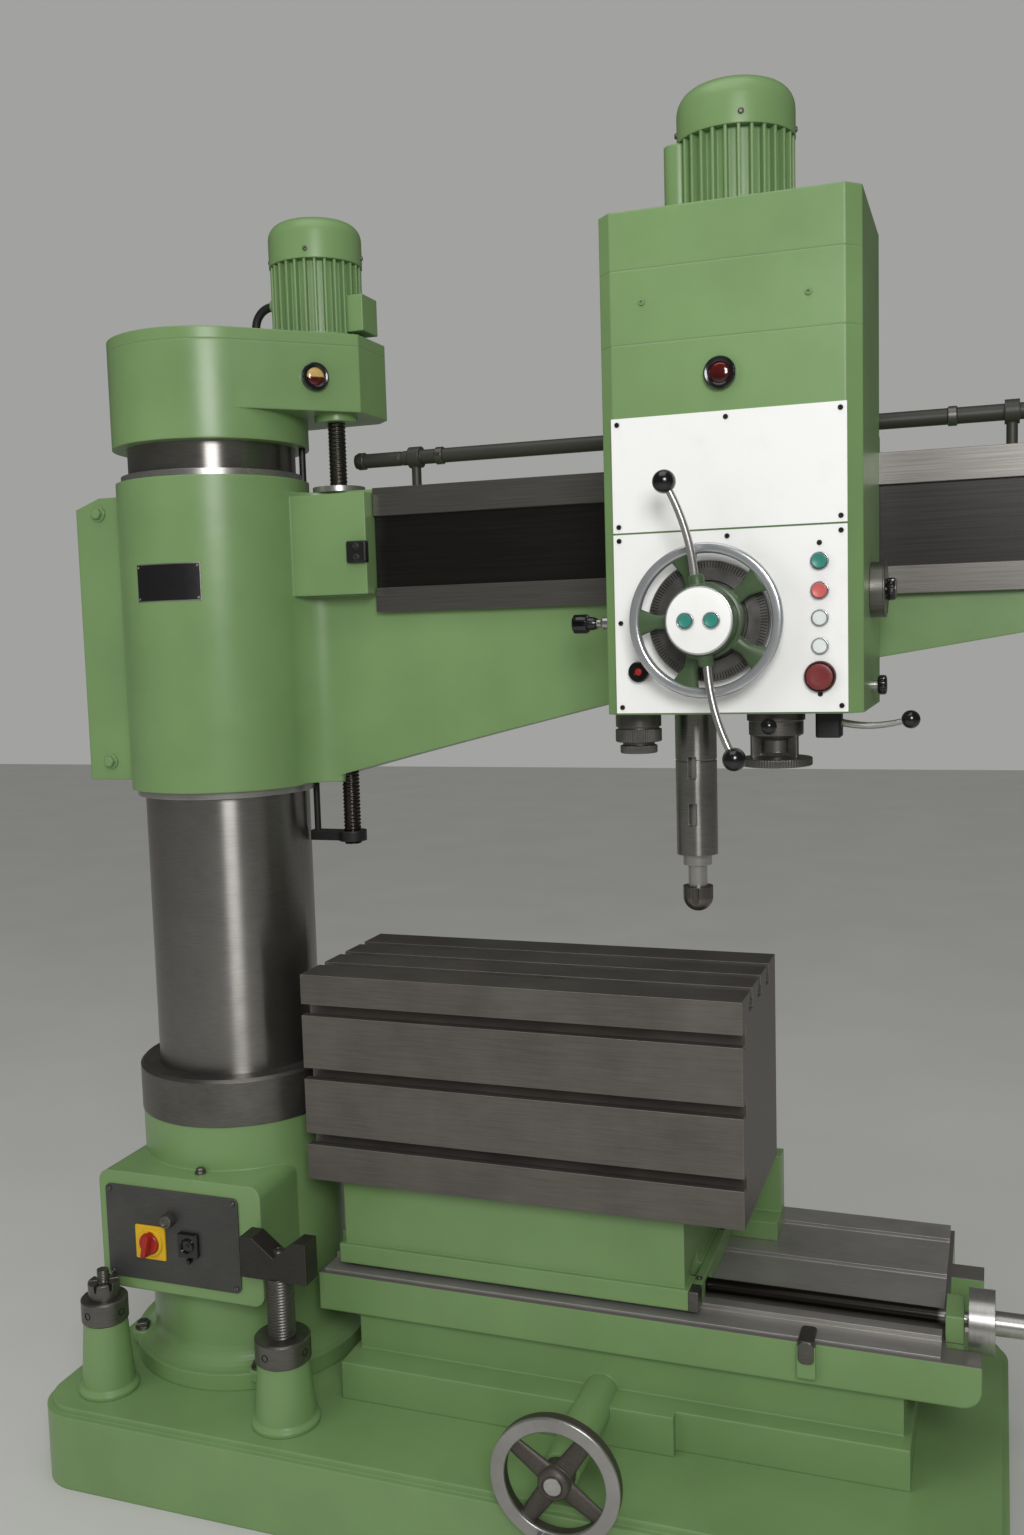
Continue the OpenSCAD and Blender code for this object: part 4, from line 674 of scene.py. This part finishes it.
# Top casing
# The casing over the column holds the lift gears, with an oil glass in its slanted front.
# The glass is a black screwed ring round a domed lens, half filled with brown oil.
glass_place, glass_along = (0.2659, -0.0299, 2.2565), (0.690, -0.724, 0.0)
glass_radius, glass_level = 0.028, 2.2555


def oil_lens(name, upper, lower, level, soften):
    """Sight glass: lens colour changes from oil to air over a few millimetres at a level of Object Z."""
    material, tree, shader, place = new_material(name)
    fullness = spread(tree, axis_of(tree, place, "Z"), (level - soften, level + soften))
    film = spread(tree, noise(tree, place, 160.0, 3.0), target=(0.75, 1.2))
    stain = shaded(tree, mix(tree, fullness, lower, upper), film)
    fill(tree, shader, {"Base Color": stain, "Roughness": 0.12, "Coat Weight": 0.8})
    return material


def sight_glass(name, centre, along, radius, body, lens, *replaced):
    """Oil glass: a stepped black ring round a shallow dome."""
    bezel = turned(np.array((0, 1, 1, 0.93, 0.72, 0.66, 0.66, 0)) * radius,
                   np.array((-0.05, -0.05, 0.42, 0.50, 0.47, 0.42, 0.33, 0.33)) * radius, centre, along, 64)
    dome = turned(np.array((0, 0.65, 0.6, 0.45, 0.25, 0)) * radius,
                  np.array((0.33, 0.33, 0.38, 0.43, 0.455, 0.465)) * radius, centre, along, 48)
    add_piece(name + "_ring", [bezel], body, black_phenolic, "gloss_black", *replaced)
    add_piece(name + "_lens", [dome], body, lens, "sight_glass")


casing_lens = oil_lens("brown_oil_glass", "#c9a868", "#4a130a", glass_level, 0.0012)
sight_glass("casing_glass", glass_place, glass_along, glass_radius, "column", casing_lens)


# Motor conduit and fan cowls
# A rubber hose takes the leads from the casing lid into the lift motor; a pressed cowl covers each fan.
# Four screws hold a cowl round its lower edge; air enters through rings of slots in its dished top, drawn
# as thin black pads of painted shade.
rubber = moulded("black_rubber", "#1c1b1a", 0.55)
dress(rubber, "motor_conduit")
dish, screw_rise, screw_turns = 0.002, 0.018, (-75, 15, 105, 195)
vent_rings = [(0.024, 9), (0.042, 16)]


def fan_cowl(node, axis, radius, shoulder, body):
    """Cowl: a drum that turns in by a quarter circle to a dished top, with screws, and slots in rings as
    black pads of painted shade.
    """
    low, top = (corner[2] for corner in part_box(node))
    bend = np.linspace(0, np.pi / 2, 10)
    flat = radius - shoulder
    radii = np.concatenate([(0, radius), flat + shoulder * np.cos(bend), (flat - dish, 0)])
    arc = top - shoulder + shoulder * np.sin(bend)
    heights = np.concatenate([(low, low), arc, (top - dish, top - dish)])
    shell = turned(radii, heights, (*axis, 0), up_z, 96)
    add_piece(node + "_shell", [shell], body, green_enamel, "machine_green", node)
    heads, vents = [], []
    for a in np.radians(screw_turns):
        outward = np.array((math.cos(a), math.sin(a), 0))
        heads += dome_screws([(*axis, low + screw_rise) + radius * outward], 0.005, outward)
    add_piece(node + "_screws", heads, body, dark_steel, "ground_steel")
    for ring, count in vent_rings:
        for a in np.arange(count) * 2 * np.pi / count:
            spot = (axis[0] + ring * math.cos(a), axis[1] + ring * math.sin(a), top - dish)
            # Each slot is a black pad just proud of the top: painted shade, not an opening.
            vents.append(plate(spot, (0.007, 0.0026), 0.0025, up_z, (-0.002, 0.0004), (0, 0), a, 4))
    add_piece(node + "_vents", vents, body, oil_and_painted_shade_black, "black_steel")


fan_cowl("lift_motor_cowl", (0.210, 0.106), 0.098, 0.032, "column")
fan_cowl("head_motor_cowl", (1.156, -0.165), 0.100, 0.038, "head")


# Lift screw, its nut and bracket
# A square-threaded screw hangs from the casing and lifts the arm by a nut bolted on the sleeve.
# A bracket on a guide rod steadies its lower end. The thread shines with oil.
screw_axis = (0.267, 0.060, 0)
screw_low, screw_high = (corner[2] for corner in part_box("lift_screw"))
lift_thread = threaded(0.019, 0.0025, 0.008, screw_low, screw_high, screw_axis, 24)
oiled_thread = machined("oiled_screw_thread", "#3b3733", "#5b5651", 1.5, (1, 1, 0.3), 0.2, 0.9)
add_piece("lift_thread", [lift_thread], "lift_screw", oiled_thread, "bright_steel", "lift_screw")
black_paint = machine_enamel("black_bracket_enamel", "#1b1b1b", "#4b4a48", 0.4)
dress(black_paint, "screw_bracket")
dress(dark_steel, "lift_gear", "lift_pinion")
dress(bright_steel, "lift_nut")


# Arm
# The arm casting swings on the column; ground steel rails are screwed along its upper front for the head.
# Between the two bright strips of the rails runs a recess with the rack behind it, coloured dark as painted
# shade.
shade_band_low, shade_band_high, shade_band_blur = 1.827, 1.973, 0.001
tube_y, tube_z, cuff_places = 0.110, 2.100, (0.300, 0.480, 0.930, 1.500, 1.735)
sleeve_radius, lip_radius, lip_bore = 0.202, 0.1906, 0.176
lip_heights = [(1.4048, 1.4188), (2.0592, 2.0732)]
left_turn, right_turn, edge_turn = -111.0, -68.0, 0.6
plate_low, plate_high, plate_edge = 1.810, 1.886, 0.002
rivet_reach, rivet_in, rivet_in_degrees = 0.2031, 0.006, 1.7
cover_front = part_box("side_cover")[0][1]
cover_bolt_places = [(-0.253, 2.008), (-0.256, 1.471)]
stop_x, stop_y, stop_z = 0.352, -0.035, 1.900


def rail_with_painted_shade_band(name, bright, dark, line_mm):
    """Ground rail: fine lines along X, bright strips, and a band of painted shade between two levels of
    Object Z.
    """
    material, tree, shader, place = new_material(name)
    drawn = add_node(tree, "Mapping", {"Vector": place, "Scale": (0.012, 1.0, 1.0)}).outputs[0]
    streak = noise(tree, drawn, 1000.0 / line_mm, 4.0)
    height = axis_of(tree, place, "Z")
    away = maths(tree, "ABSOLUTE", maths(tree, "SUBTRACT", height, (shade_band_low + shade_band_high) / 2))
    half = (shade_band_high - shade_band_low) / 2
    tone = mix(tree, spread(tree, away, (half - shade_band_blur, half + shade_band_blur)), dark, bright)
    fill(tree, shader, {
        "Base Color": shaded(tree, tone, spread(tree, streak, (0.3, 0.7), (0.78, 1.18))),
        "Normal": bumped(tree, streak, rounded(tree, 0.002, 6), 0.15, 0.0003),
        "Metallic": 0.8, "Roughness": 0.36})
    return material


def sleeve_patch(first, last, low, high, lift):
    """Bent sheet on the sleeve: a closed loop between two angles, carried between two heights."""
    turn = np.radians(np.linspace(first, last, 25))
    around = np.concatenate([turn[::-1], turn])
    radii = np.repeat((sleeve_radius - 0.001, sleeve_radius + lift), 25)
    x, y = radii * np.cos(around), radii * np.sin(around)
    rows = [np.stack([x, y, 0 * around + z], -1) for z in (low, high)]
    ends = [np.concatenate([row[:25], row[:25][::-1]]) for row in rows]
    return closed(np.stack([ends[0], *rows, ends[1]]))


# The dark colour is the painted shade of the recess between the bright strips.
rail_steel = rail_with_painted_shade_band("ground_rail_steel_painted_shade_band", "#716e6a", "#2e2c2b", 1.8)
dress(rail_steel, "arm_rails")
tube_paint = machine_enamel("grey_tube_enamel", "#393833", "#5a5953", 0.42)
dress(tube_paint, "cable_tube")
cuffs = [turned((0.0152, 0.0180, 0.0180, 0.0152, 0.0152), (-0.009, -0.007, 0.007, 0.009, -0.009),
                (x, tube_y, tube_z), to_right, 32) for x in cuff_places]
add_piece("tube_cuffs", cuffs, "arm", dark_steel, "black_steel")
lip_radii = (lip_bore, lip_radius, lip_radius, lip_bore, lip_bore)
lips = [turned(lip_radii, (low, low, high, high, low), (0, 0, 0), up_z, 96) for low, high in lip_heights]
add_piece("sleeve_lips", lips, "arm", bright_steel, "bright_steel")

# The rating plate is bare: black anodised sheet in a thin bright edge, on four small rivets.
bare_black = moulded("black_anodised_plate", "#181819", 0.38)
edge_sheet = sleeve_patch(left_turn, right_turn, plate_low, plate_high, 0.0008)
black_sheet = sleeve_patch(left_turn + edge_turn, right_turn - edge_turn,
                           plate_low + plate_edge, plate_high - plate_edge, 0.0012)
add_piece("rating_plate_edge", [edge_sheet], "arm", bright_steel, "bright_steel")
add_piece("rating_plate", [black_sheet], "arm", bare_black, "black_steel")
rivets = []
for a in np.radians((left_turn + rivet_in_degrees, right_turn - rivet_in_degrees)):
    outward = np.array((math.cos(a), math.sin(a), 0))
    places = [rivet_reach * outward + (0, 0, z) for z in (plate_low + rivet_in, plate_high - rivet_in)]
    rivets += dome_screws(places, 0.0026, outward)
add_piece("plate_rivets", rivets, "arm", bright_steel, "bright_steel")

# Two painted bolts hold the cover of the clamping gear on the left of the sleeve.
cover_bolts = []
for x, z in cover_bolt_places:
    cover_bolts += hex_bolt((x, cover_front, z), to_front, 0.017, 0.0125, 0.002, 0.013, 32)
add_piece("cover_bolts", cover_bolts, "arm", green_enamel, "machine_green")

# A black stop block at the column end of the rails limits the travel of the head.
stop = plate((stop_x, stop_y, stop_z), (0.022, 0.022), 0.004, to_front,
             (-0.002, 0.010, 0.012), (0, 0, 0.002))
stop_screw_places = [(stop_x, stop_y - 0.012, stop_z + side) for side in (-0.011, 0.011)]
stop_screws = dome_screws(stop_screw_places, 0.006, to_front)
add_piece("arm_stop", [stop, *stop_screws], "arm", black_paint, "black_steel")


# Head covers and face plates
# The gear head slides on the rails; two covers close it above, and white enamelled plates face its front.
# Small cap screws hold the plates and the covers.
head_front, plate_front, edge_in = -0.330, -0.334, 0.010
plate_left, plate_right, panel_x = 0.972, 1.356, 1.312
lower_low, lower_high, upper_low, upper_high = 1.585, 1.884, 1.887, 2.075
cover_places = [(1.027, head_front, 2.260), (1.297, head_front, 2.248)]
head_glass_place = (1.156, head_front, 2.135)
eye_place = np.array((1.270, -0.100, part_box("top_cover")[1][2]))


def stove_enamel(name, colour, stain):
    """White stove enamel: smooth and glossy, yellowed a little in patches about 80 mm across."""
    material, tree, shader, place = new_material(name)
    patch = noise(tree, place, 12.0, 5.0, 0.6)
    fill(tree, shader, {
        "Base Color": mix(tree, spread(tree, patch, (0.52, 0.8), (0.0, 0.5)), colour, stain),
        "Roughness": spread(tree, patch, target=(0.25, 0.38)),
        "Normal": bumped(tree, patch, rounded(tree, 0.001, 4), 0.05, 0.0003)})
    return material


white_enamel = stove_enamel("white_stove_enamel", "#efefed", "#e2e0d8")
dress(white_enamel, "face_plates")
left_screws, right_screws = plate_left + edge_in, plate_right - edge_in
upper_row, lower_row = upper_high - edge_in, lower_high - edge_in
screw_spots = [(x, z) for x in (left_screws, right_screws)
               for z in (upper_low + edge_in, upper_row, lower_row, lower_low + edge_in)]
screw_spots += [((plate_left + plate_right) / 2, z) for z in (upper_row, lower_row)]
screw_spots += [(left_screws, 1.737), (panel_x, 1.856), (panel_x, 1.614)]
screw_places = [(x, plate_front, z) for x, z in screw_spots]
black_screw = machined("blackened_screw_steel", "#141414", "#222120", 1.0, (1, 1, 1), 0.36, 0.6, "#45433f")
add_piece("plate_screws", dome_screws(screw_places, 0.0042, to_front), "head", black_screw, "black_steel")
cover_heads = dome_screws(cover_places, 0.0055, to_front)
add_piece("cover_screws", cover_heads, "head", green_enamel, "machine_green")
# On the head glass the change is spread over the lens, so its red grows darker towards the bottom.
head_lens = oil_lens("dark_red_oil_glass", "#5a1712", "#2a0605", head_glass_place[2], 0.016)
sight_glass("head_oil_glass", head_glass_place, to_front, 0.0262, "head", head_lens, "head_glass")

# A forged eye bolt in the top cover takes the hook when the head is lifted off.
eye_collar = drum(0.017, -0.001, 0.010, eye_place, up_z, 32, 0.005, 0.004)
eye_ring = ring_band(0.0175, 0.006, 0.006, eye_place + (0, 0, 0.030), (0.4, -0.92, 0.0), 48, 2)
add_piece("lifting_eye", [eye_collar, eye_ring], "head", dark_steel, "ground_steel")


# Buttons and lamps
# Push buttons of coloured nylon sit in chromed rings on the plate and in the hub of the capstan.
# Two white lamps show the direction of turn, and a small red lens shows that oil flows.
lamp_heights, lamp_radius = (1.736, 1.691), 0.011
flow_place = (1.013, plate_front, 1.655)
teal_nylon = moulded("teal_nylon", "#2f8274", 0.3)
rose_nylon = moulded("rose_nylon", "#c9605c", 0.32)
faded_red = moulded("faded_red_nylon", "#74292a", 0.36)
dark_red = moulded("dark_red_nylon", "#40100f", 0.3)
lamp_lens = moulded("white_lamp_lens", "#dfe6e4", 0.16, 0.5)
chrome = machined("chromed_steel", "#b4b6b9", "#d0d2d4", 0.6, (1, 1, 1), 0.2, 0.7, "#e2e2e2")
dress(lamp_lens, "indicator_lamps")


def push_button(node, material, slot):
    """Push button: a round cap with a soft rim and a dished face, in the box of its CAD node."""
    low, high = np.array(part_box(node))
    radius = (high[0] - low[0]) / 2
    length = high[1] - low[1]
    x, z = (low[0] + high[0]) / 2, (low[2] + high[2]) / 2
    falls = np.array((length, length, 0.0022, 0.0006, 0, 0.0007, 0.0011, 0.0012))
    radii = np.array((0, 1, 1, 0.97, 0.88, 0.6, 0.3, 0)) * radius
    cap = turned(radii, length - falls, (x, high[1], z), to_front)
    add_piece(node + "_cap", [cap], node, material, slot, node)
    return x, z, radius


def button_ring(x, z, radius, front):
    """Bezel: a thin rounded ring that stands round a button."""
    steps_out = np.array((0.0006, 0.0032, 0.0032, 0.0022, 0.0008, 0.0006))
    rises = (-0.0005, -0.0005, 0.0022, 0.0032, 0.0032, -0.0005)
    return turned(radius + steps_out, rises, (x, front, z), to_front)


rings = [button_ring(*push_button("start_button", teal_nylon, "signal_green"), plate_front),
         button_ring(*push_button("reverse_button", rose_nylon, "signal_red"), plate_front)]
rings += [button_ring(panel_x, z, lamp_radius, plate_front) for z in lamp_heights]
add_piece("button_rings", rings, "head", chrome, "chrome")
stop_button_x, stop_button_z, stop_radius = push_button("stop_button", faded_red, "signal_red")
collar_steps = np.array((0.0004, 0.0045, 0.0045, 0.0030, 0.0010, 0.0004))
stop_collar = turned(stop_radius + collar_steps, (-0.0005, -0.0005, 0.006, 0.0085, 0.0085, -0.0005),
                     (stop_button_x, plate_front, stop_button_z), to_front, 64)
add_piece("stop_collar", [stop_collar], "head", dark_red, "signal_red")
flow_ring = turned((0, 0.0175, 0.0175, 0.0155, 0.008, 0.0072, 0),
                   (-0.001, -0.001, 0.0092, 0.011, 0.011, 0.0085, 0.0085), flow_place, to_front)
flow_lens = turned((0, 0.0070, 0.0055, 0.003, 0), (0.0086, 0.0086, 0.0100, 0.0108, 0.011),
                   flow_place, to_front, 32)
add_piece("flow_ring", [flow_ring], "head", black_phenolic, "gloss_black")
add_piece("flow_lens", [flow_lens], "head", red_nylon, "signal_red")


# Traverse wheel
# A wheel with five flared spokes runs the head along the arm: a painted cast hub and a chromed rim.
# Behind the spokes a steel ring with depth lines is fixed to the hub.
hub_x, hub_z = 1.135, 1.737
wheel_centre = (hub_x, -0.3783, hub_z)
rim_radius, rim_half_wide = 0.126, 0.0088
spoke_turn, spoke_count = 54.0, 5
scale_lines, line_share, scale_inner, scale_outer = 120, 0.13, 0.086, 0.097


def graduated_steel(name, centre):
    """Steel ring with lines: dark where the turn share about Y, times the count, is near a whole number."""
    material, tree, shader, place = new_material(name)
    own = add_node(tree, "Mapping", {"Vector": place, "Location": (-centre[0], 0, -centre[2])}).outputs[0]
    axes = add_node(tree, "SeparateXYZ", {0: own}).outputs
    turn = maths(tree, "ARCTAN2", axes["X"], axes["Z"])
    wave = maths(tree, "PINGPONG", maths(tree, "MULTIPLY", turn, scale_lines / (2 * math.pi)), 0.5)
    line = maths(tree, "LESS_THAN", wave, line_share)
    reach = add_node(tree, "VectorMath", {0: own, 1: (1, 0, 1)}, operation="MULTIPLY").outputs[0]
    radius = add_node(tree, "VectorMath", {0: reach}, operation="LENGTH").outputs["Value"]
    middle, half = (scale_inner + scale_outer) / 2, (scale_outer - scale_inner) / 2
    within = maths(tree, "COMPARE", radius, middle, half)
    smear = noise(tree, place, 40.0, 5.0)
    steel = mix(tree, smear, "#55534f", "#8d8b88")
    fill(tree, shader, {
        "Base Color": mix(tree, maths(tree, "MULTIPLY", line, within), steel, "#1c1b1a"),
        "Roughness": spread(tree, smear, target=(0.24, 0.42)),
        "Metallic": 0.85})
    return material


dark_enamel = machine_enamel("dark_green_enamel", "#415638", "#74876a", 0.34)
rim = ring_band(rim_radius - rim_half_wide, rim_half_wide, rim_half_wide, wheel_centre, to_front, 128, 3.2)
spoke_shares = np.linspace(0, 1, 15)
flare = np.clip(spoke_shares - 0.55, 0, None) / 0.45
spoke_width = 0.0105 + 0.008 * (1 - spoke_shares) ** 3 + 0.013 * flare
spokes = wheel_spokes(wheel_centre, to_front, spoke_turn, spoke_count, 0.040, 0.1105, spoke_width, 0.0068)
hub_shell = turned((0, 0.046, 0.056, 0.062, 0.062, 0.055, 0),
                   (-0.044, -0.044, -0.022, -0.014, 0.010, 0.013, 0.013), wheel_centre, to_front, 64)
add_piece("traverse_rim", [rim], "traverse_wheel", chrome, "chrome")
add_piece("traverse_spokes", [*spokes, hub_shell], "traverse_wheel", dark_enamel, "machine_green",
          "traverse_wheel")
scale_steel = graduated_steel("graduated_ring_steel", wheel_centre)
scale_ring = turned((0.050, 0.100, 0.100, 0.098, 0.066, 0.064, 0.050, 0.050),
                    (-0.040, -0.040, -0.024, -0.022, -0.022, -0.026, -0.026, -0.040),
                    wheel_centre, to_front, 96)
add_piece("depth_ring", [scale_ring], "traverse_wheel", scale_steel, "bright_steel")


# Feed capstan
# The hub in front of the wheel carries two bent levers with black balls, which feed the spindle by hand.
# Its white cap holds the two buttons for lifting and lowering the arm.
cap_front = -0.4336
capstan_centre = (hub_x, -0.3926, hub_z)
lever_y, lever_lean = -0.4106, 0.016
lever_bends = np.array([(-0.008, 0.030), (-0.018, 0.130), (-0.053, 0.221)])


def bent_lever(sign):
    """Feed lever: a rod through three places beside the hub, a parabola in share of its length."""
    share = np.linspace(0, 1, 33)[:, None]
    inner, middle, outer = lever_bends * sign
    bend = inner * (1 - share) * (1 - 2 * share) + middle * 4 * share * (1 - share)
    flat = bend + outer * share * (2 * share - 1)
    path = np.stack([hub_x + flat[:, 0], lever_y - lever_lean * share[:, 0], hub_z + flat[:, 1]], -1)
    thick = 0.0072 - 0.001 * share[:, 0]
    return path, swept(path, (0, 1, 0), thick, thick)


def ball_knob(centre, along, radius):
    """Ball knob: a sphere, drawn as circles from its foot to its top."""
    lat = np.linspace(-np.pi / 2, np.pi / 2, 25)
    return turned(radius * np.cos(lat), radius * np.sin(lat), centre, along, 48)


capstan_hub = turned((0, 0.057, 0.057, 0.056, 0.0535, 0.0525, 0),
                     (0.0003, 0.0003, 0.030, 0.0335, 0.036, 0.036, 0.036), capstan_centre, to_front, 96)
lever_paths, lever_rods = zip(*[bent_lever(sign) for sign in (1, -1)])
hub_middle = (hub_x, lever_y, hub_z)
sockets = [drum(0.0125, 0.035, 0.074, hub_middle, (-0.10 * sign, 0.0, 0.995 * sign), 32, 0.0025, 0.004)
           for sign in (1, -1)]
add_piece("capstan_hub", [capstan_hub, *sockets], "feed_capstan", dark_enamel, "machine_green",
          "feed_capstan")
cap = turned((0, 0.0525, 0.0525, 0.0515, 0.0490, 0), (0.035, 0.035, 0.0385, 0.0403, 0.041, 0.041),
             capstan_centre, to_front, 96)
cap_edge = turned((0.0520, 0.0545, 0.0545, 0.0530, 0.0520, 0.0520),
                  (0.034, 0.034, 0.0372, 0.0380, 0.0380, 0.034), capstan_centre, to_front, 96)
add_piece("capstan_cap", [cap], "feed_capstan", white_enamel, "plate_white")
add_piece("cap_edge", [cap_edge], "feed_capstan", chrome, "chrome")
add_piece("feed_levers", lever_rods, "feed_capstan", bright_steel, "bright_steel")
balls = [ball_knob(path[-1], path[-1] - path[-3], 0.019) for path in lever_paths]
add_piece("lever_balls", balls, "feed_capstan", black_phenolic, "gloss_black")
hub_rings = [button_ring(*push_button(node, teal_nylon, "signal_green"), cap_front)
             for node in ("left_hub_button", "right_hub_button")]
add_piece("hub_button_rings", hub_rings, "feed_capstan", chrome, "chrome")


# Dial and knobs on the sides of the head
# A graduated steel dial with a fluted knob sets the depth stop; two fluted knobs on stems clamp the slide.
# The knobs are phenolic mouldings with deep flutes for the fingers.
head_left, head_right, dial_face = 0.950, 1.378, 1.402


def axis_at(node, x):
    """A place on the X axis of a CAD node, at the middle of its box in Y and Z."""
    middle = np.mean(np.array(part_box(node)), axis=0)
    return np.array((x, middle[1], middle[2]))


def fluted(centre, along, radius, low, high, flutes, deep, steps=96):
    """Fluted knob: the radius dips by a cosine in angle between two rounded ends."""
    dip = deep * np.clip(np.cos(np.arange(steps) / steps * 2 * np.pi * flutes), 0, None)
    rows = np.array((0, 0.86, 1, 1, 0.93, 0.72, 0))[:, None]
    soft = min(0.004, (high - low) / 4)
    heights = (low, low, low + soft, high - soft, high - soft * 0.3, high, high)
    return turned(rows * radius - np.where(rows > 0.8, dip, 0), heights, centre, along, steps)


dress(dark_steel, "side_dial")
dial_place = axis_at("side_dial", dial_face)
dial_knob = fluted(dial_place, to_right, 0.0195, 0.0, 0.0165, 8, 0.0025)
dial_rim = ring_band(0.0455, 0.0022, 0.0022, dial_place - (0.001, 0, 0), to_right, 96, 2)
add_piece("dial_knob", [dial_knob], "side_dial", black_phenolic, "gloss_black")
add_piece("dial_rim", [dial_rim], "side_dial", dark_steel, "ground_steel")

left_axis = axis_at("clamp_knob", head_left)
left_stem = turned((0, 0.0145, 0.0145, 0.0135, 0.0115, 0.0115, 0.0075, 0.0075, 0),
                   (-0.02, -0.02, 0.022, 0.024, 0.024, 0.046, 0.050, 0.070, 0.070), left_axis, to_left, 40)
left_knob = fluted(left_axis, to_left, 0.0175, 0.074, 0.1035, 6, 0.0055)
left_neck = turned((0, 0.0095, 0.012, 0.013, 0), (0.058, 0.058, 0.064, 0.078, 0.078),
                   left_axis, to_left, 32)
add_piece("left_stem", [left_stem], "clamp_knob", bright_steel, "bright_steel", "clamp_knob")
add_piece("left_star_knob", [left_knob, left_neck], "clamp_knob", black_phenolic, "gloss_black")

right_axis = axis_at("lock_knob", head_right)
right_stem = drum(0.009, -0.02, 0.014, right_axis, to_right, 32)
right_knob = fluted(right_axis, to_right, 0.0170, 0.0105, 0.0250, 8, 0.0028)
add_piece("right_stem", [right_stem], "lock_knob", bright_steel, "bright_steel", "lock_knob")
add_piece("right_fluted_knob", [right_knob], "lock_knob", black_phenolic, "gloss_black")


# Controls under the head
# A knurled depth dial, a speed selector with a knurled rim and a ball lever, and a clamping lever.
# Dials are turned steel, levers ground rod with black balls.
under_y = -0.240
depth_axis = (0.985, under_y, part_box("depth_dial")[0][2])
selector_x, selector_z, selector_ball_y = 1.226, 1.5607, -0.320
selector_axis = (selector_x, under_y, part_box("selector_wheel")[0][2])
selector_top = 1.5817 - selector_axis[2]
web_reach, web_z, web_turns = 0.036, 1.502, (-150, -30, 90)
lever_x, lever_z, lever_end, lever_sag, block_z = 1.315, 1.5657, 1.447, 0.010, 1.5367
tooth_deep = 0.0007


def knurled(radii, heights, rows, centre, count, steps=240):
    """Turned steel with fine teeth: the chosen rows swing by a small cosine in angle."""
    tooth = tooth_deep * np.cos(np.arange(steps) / steps * 2 * np.pi * count)
    chosen = np.isin(np.arange(len(radii)), rows)[:, None]
    return turned(np.asarray(radii)[:, None] + np.where(chosen, tooth, 0), heights, centre, up_z, steps)


depth_body = knurled(
    (0, 0.031, 0.032, 0.032, 0.028, 0.028, 0.0385, 0.040, 0.040, 0.0365, 0.0365, 0.040, 0.040, 0),
    (0, 0, 0.0015, 0.013, 0.015, 0.019, 0.020, 0.0215, 0.042, 0.043, 0.046, 0.047, 0.0715, 0.0715),
    (2, 3, 7, 8), depth_axis, 60)
add_piece("depth_knurl", [depth_body], "depth_dial", dark_steel, "ground_steel", "depth_dial")

selector_body = knurled(
    (0, 0.0585, 0.060, 0.060, 0.0585, 0.030, 0.025, 0.025, 0.040, 0.0455, 0.046, 0.046, 0.049, 0.049, 0),
    (0, 0, 0.0015, 0.0125, 0.014, 0.018, 0.024, 0.044, 0.050, 0.053, 0.056, 0.076, 0.078, selector_top,
     selector_top), (2, 3), selector_axis, 80)
selector_stem = turned((0, 0.0065, 0.0055, 0.0055, 0), (0.035, 0.035, 0.060, 0.072, 0.072),
                       (selector_x, under_y, selector_z), to_front, 24)
selector_webs = []
for a in np.radians(web_turns):
    spot = (selector_x + web_reach * math.cos(a), under_y + web_reach * math.sin(a), web_z)
    selector_webs.append(plate(spot, (0.010, 0.004), 0.003, up_z, (-0.002, 0.042), (0, 0), a, 4))
add_piece("selector_knurl", [selector_body, selector_stem, *selector_webs], "selector_wheel", dark_steel,
          "ground_steel", "selector_wheel")
selector_ball = ball_knob((selector_x, selector_ball_y, selector_z), to_front, 0.0135)
add_piece("selector_ball", [selector_ball], "selector_wheel", black_phenolic, "gloss_black")

lever_block = plate((lever_x, under_y, block_z), (0.021, 0.021), 0.006, up_z,
                    (0, 0.002, 0.0445), (0.002, 0, 0))
lever_share = np.linspace(0, 1, 25)
lever_path = np.stack([lever_x + (lever_end - lever_x) * lever_share, under_y + 0 * lever_share,
                       lever_z - lever_sag * np.sin(np.pi * lever_share)], -1)
lever_thick = 0.0068 - 0.0022 * lever_share
lever_rod = swept(lever_path, (0, 1, 0), lever_thick, lever_thick)
lever_ball = ball_knob((lever_end, under_y, lever_z), to_right, 0.0152)
add_piece("clamp_block", [lever_block], "clamp_lever", black_paint, "black_steel", "clamp_lever")
add_piece("clamp_rod", [lever_rod], "clamp_lever", bright_steel, "bright_steel")
add_piece("clamp_ball", [lever_ball], "clamp_lever", black_phenolic, "gloss_black")


# Quill, spindle and end mill
# The quill is a ground steel sleeve that slides in the head; the spindle turns in it and holds the arbor.
# Ground steel shows fine rings round its axis; the mill is dark from hardening.
quill_steel = machined("ground_quill_steel", "#7d7a76", "#9f9c98", 1.2, (0.05, 0.05, 1.0), 0.26, 0.92)
hard_steel = machined("hardened_mill_steel", "#57534f", "#78736e", 1.0, (0.3, 0.3, 1.0), 0.24, 0.9)
dress(ring_ground(quill_steel, 0.85), "quill")
dress(bright_steel, "spindle")
dress(hard_steel, "end_mill")
